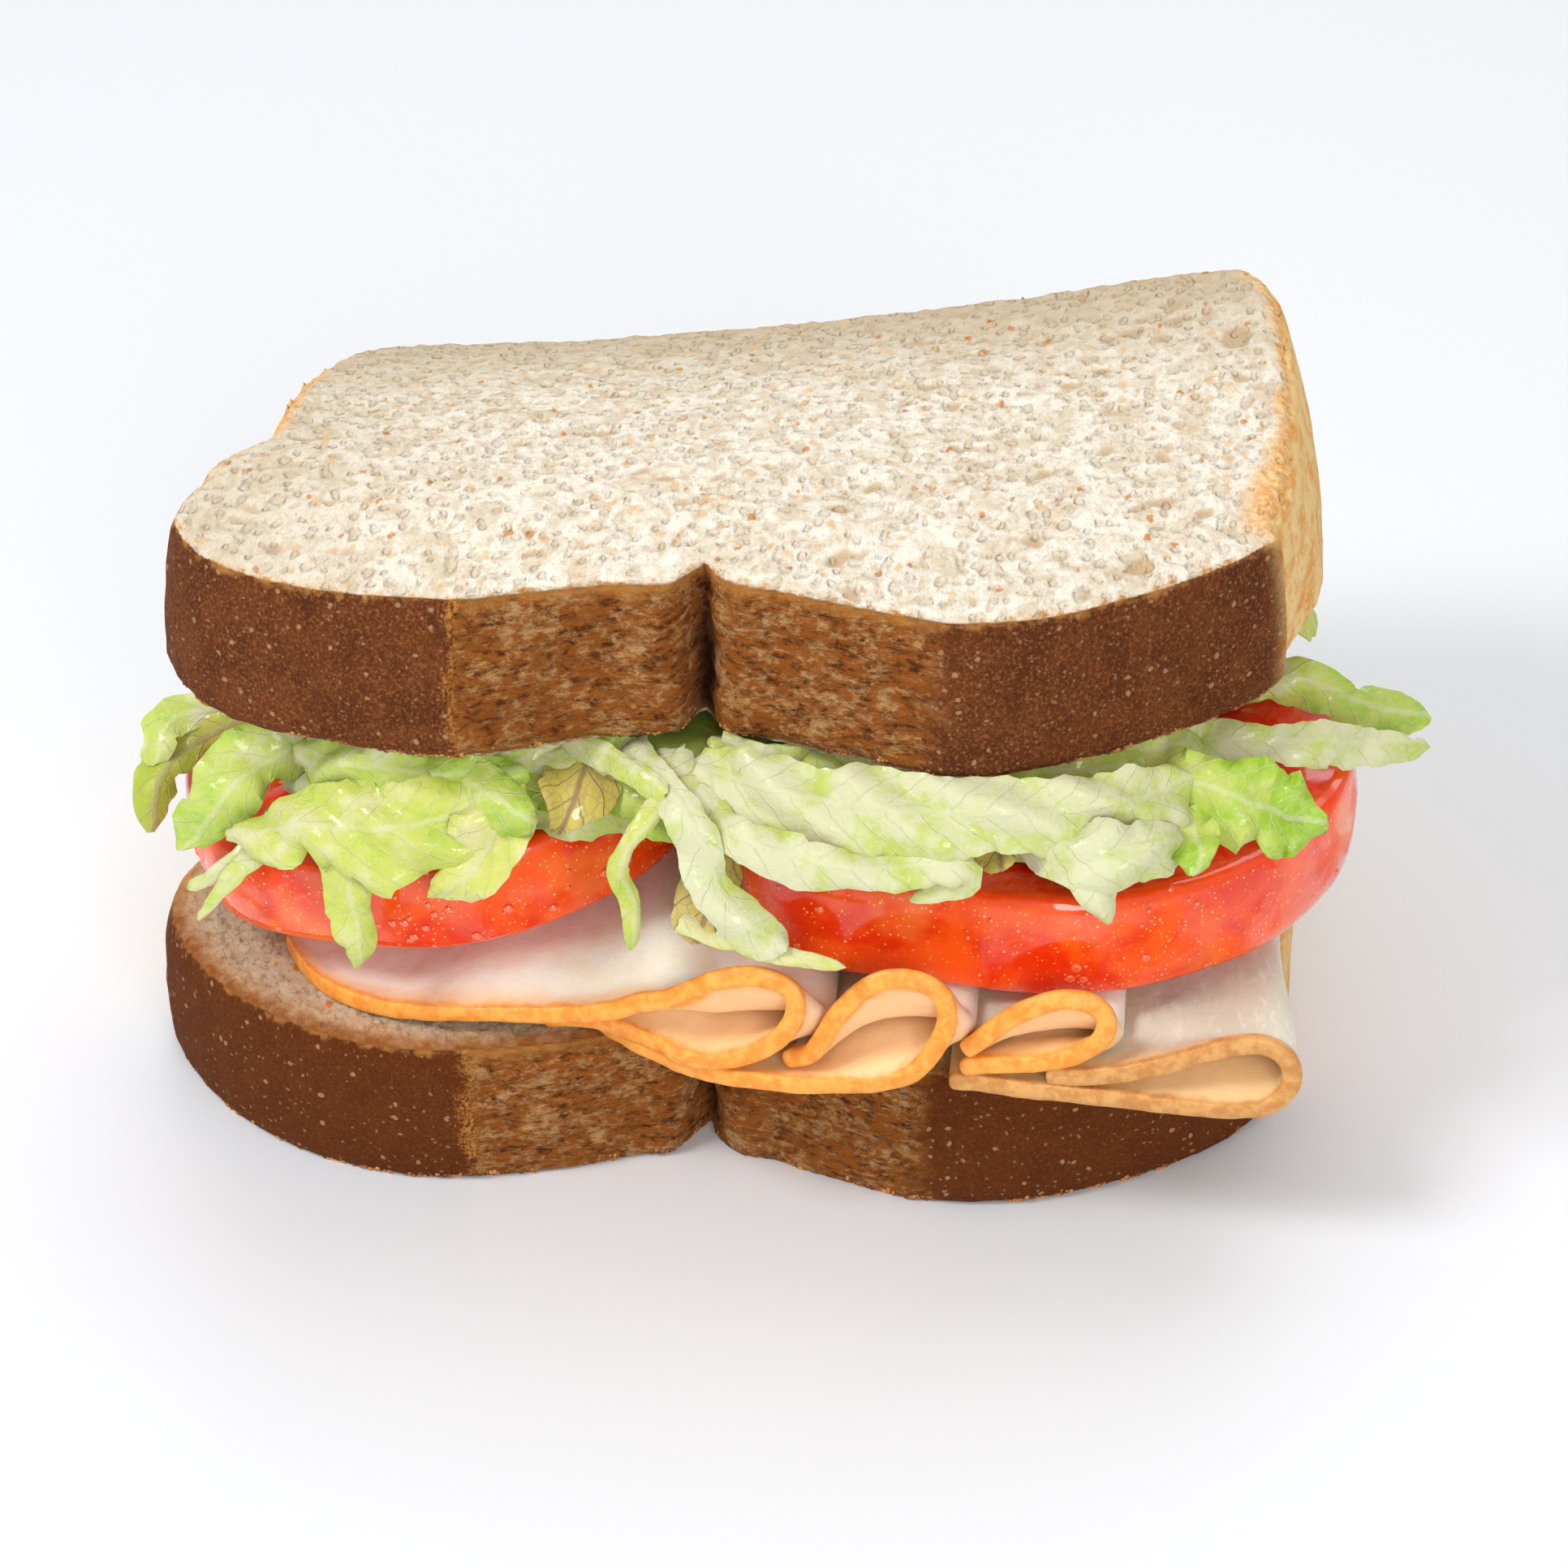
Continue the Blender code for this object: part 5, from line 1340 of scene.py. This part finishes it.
def strewing_tree():
    """Node tree that strews one object over a mesh where a mark on it allows, and makes it real."""
    tree = bpy.data.node_groups.new("strewn_bits", "GeometryNodeTree")
    for name, kind in (("Surface", "NodeSocketGeometry"), ("Bit", "NodeSocketObject"),
                       ("Per Square Metre", "NodeSocketFloat"), ("Smallest", "NodeSocketFloat"),
                       ("Largest", "NodeSocketFloat"), ("Seed", "NodeSocketInt"),
                       ("Finish", "NodeSocketMaterial")):
        tree.interface.new_socket(name, in_out="INPUT", socket_type=kind)
    tree.interface.new_socket("Bits", in_out="OUTPUT", socket_type="NodeSocketGeometry")
    link = tree.links.new
    inside = tree.nodes.new("NodeGroupInput")
    outside = tree.nodes.new("NodeGroupOutput")
    mark = tree.nodes.new("GeometryNodeInputNamedAttribute")
    mark.data_type = "FLOAT"
    mark.inputs["Name"].default_value = "strewn"
    density = tree.nodes.new("ShaderNodeMath")
    density.operation = "MULTIPLY"
    link(mark.outputs["Attribute"], density.inputs[0])
    link(inside.outputs["Per Square Metre"], density.inputs[1])
    strew = tree.nodes.new("GeometryNodeDistributePointsOnFaces")
    link(inside.outputs["Surface"], strew.inputs["Mesh"])
    link(density.outputs[0], strew.inputs["Density"])
    link(inside.outputs["Seed"], strew.inputs["Seed"])
    size = tree.nodes.new("FunctionNodeRandomValue")
    size.data_type = "FLOAT"
    link(inside.outputs["Seed"], size.inputs["Seed"])
    skewed = tree.nodes.new("ShaderNodeMath")
    skewed.operation = "POWER"
    skewed.inputs[1].default_value = 2.5
    link(size.outputs[1], skewed.inputs[0])
    scale = tree.nodes.new("ShaderNodeMapRange")
    link(skewed.outputs[0], scale.inputs["Value"])
    link(inside.outputs["Smallest"], scale.inputs["To Min"])
    link(inside.outputs["Largest"], scale.inputs["To Max"])
    bit = tree.nodes.new("GeometryNodeObjectInfo")
    link(inside.outputs["Bit"], bit.inputs["Object"])
    place = tree.nodes.new("GeometryNodeInstanceOnPoints")
    link(strew.outputs["Points"], place.inputs["Points"])
    link(bit.outputs["Geometry"], place.inputs["Instance"])
    link(strew.outputs["Rotation"], place.inputs["Rotation"])
    link(scale.outputs[0], place.inputs["Scale"])
    real = tree.nodes.new("GeometryNodeRealizeInstances")
    link(place.outputs[0], real.inputs[0])
    finish = tree.nodes.new("GeometryNodeSetMaterial")
    link(real.outputs[0], finish.inputs["Geometry"])
    link(inside.outputs["Finish"], finish.inputs["Material"])
    link(finish.outputs[0], outside.inputs[0])
    return tree


def ball_mesh(name, rounds, squash, lumps, seed):
    """A small closed ball of radius one, flattened and made lumpy by the given shares."""
    shape = bmesh.new()
    bmesh.ops.create_icosphere(shape, subdivisions=rounds, radius=1.0)
    for vertex in shape.verts:
        vertex.co *= 1 + lumps * noise.noise(vertex.co * 1.4 + Vector((seed, 0, 0)))
        vertex.co.z *= squash
    mesh = bpy.data.meshes.new(name)
    shape.to_mesh(mesh)
    shape.free()
    mesh.shade_smooth()
    return add_to_scene(name, mesh)


def strew(name, surface, bit, per_area, sizes, seed, finish):
    """Strew a bit over a marked copy of a surface; the result is one plain mesh."""
    item = add_to_scene(name, surface)
    modifier = item.modifiers.new("strewn bits", "NODES")
    modifier.node_group = strewing
    values = {"Bit": bit, "Per Square Metre": per_area, "Smallest": sizes[0] * MM, "Largest": sizes[1] * MM,
              "Seed": seed, "Finish": finish}
    for socket in strewing.interface.items_tree:
        if socket.in_out == "INPUT" and socket.name in values:
            modifier[socket.identifier] = values[socket.name]
    item.data = finished_mesh(item)
    item.modifiers.clear()
    return item


strewing = strewing_tree()
water_look = Finish("water_bead", 0.04)
water_look.set(Coat_Weight=1.0, Coat_IOR=1.8)
water_look.shader.inputs["Base Color"].default_value = screen_colour(250, 92, 36)
bead = ball_mesh("bead", 2, BEAD_FLATNESS, 0.25, 2)
for bead_name, bead_facts in BEADS.items():
    bead_on, bead_slot, bead_span, bead_mark, bead_density, bead_sizes, bead_seed = bead_facts
    bead_surface = bpy.data.objects[bead_on].data.copy()
    bead_points, bead_normals = mesh_points(bead_surface)
    bead_left, bead_right = bead_span
    bead_off = bead_points[:, 0] - (bead_left + bead_right) / 2
    bead_near = np.exp(-(bead_off / (bead_right - bead_left) * 2) ** 2)
    bead_clump = eased(noise_field(bead_points, 3.2, bead_seed), -0.25, 0.3)
    bead_skin = eased(-bead_normals[:, 1], 0.2, 0.5) * (1 - eased(np.abs(bead_normals[:, 2]), 0.4, 0.7))
    store_mark(bead_surface, "strewn", (bead_mark * bead_near * bead_clump + 0.04) * bead_skin)
    beads = strew(bead_name, bead_surface, bead, bead_density * 1e4, bead_sizes, bead_seed,
                  water_look.material)
    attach(beads, "root")

crumb_look = Finish("loose_crumb", 0.85)
crumb_mix = crumb_look.between(crumb_look.grain(1.2, 3.0), 0.4, 0.62)
crumb_look.colour(crumb_look.blend(crumb_mix, CRUST, EDGE_GOLD))
crumb_bit = ball_mesh("crumb_bit", 1, 0.8, 0.9, 5)
for crumbs_name, (crumbs_on, crumbs_slot, crumbs_density, crumbs_sizes, crumbs_seed) in CRUMB_BITS.items():
    crumbs_surface = bpy.data.objects[crumbs_on].data.copy()
    crumbs_points, _ = mesh_points(crumbs_surface)
    edge_distance = np.empty(len(crumbs_points))
    crumbs_surface.attributes["from_edge"].data.foreach_get("value", edge_distance)
    crumbs_clump = eased(noise_field(crumbs_points, 2.4, crumbs_seed), 0.0, 0.35)
    crumbs_front = eased(-crumbs_points[:, 1], 20, 32)
    is_upper = np.empty(len(crumbs_points))
    crumbs_surface.attributes["under_edge"].data.foreach_get("value", is_upper)
    crumbs_low = (1 - eased(edge_distance, 0.5, 1.3)) * (1 - is_upper)
    store_mark(crumbs_surface, "strewn", crumbs_low * crumbs_clump * crumbs_front)
    crumbs = strew(crumbs_name, crumbs_surface, crumb_bit, crumbs_density * 1e4, crumbs_sizes, crumbs_seed,
                   crumb_look.material)
    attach(crumbs, "root")
for template in (bead, crumb_bit):
    bpy.data.objects.remove(template)
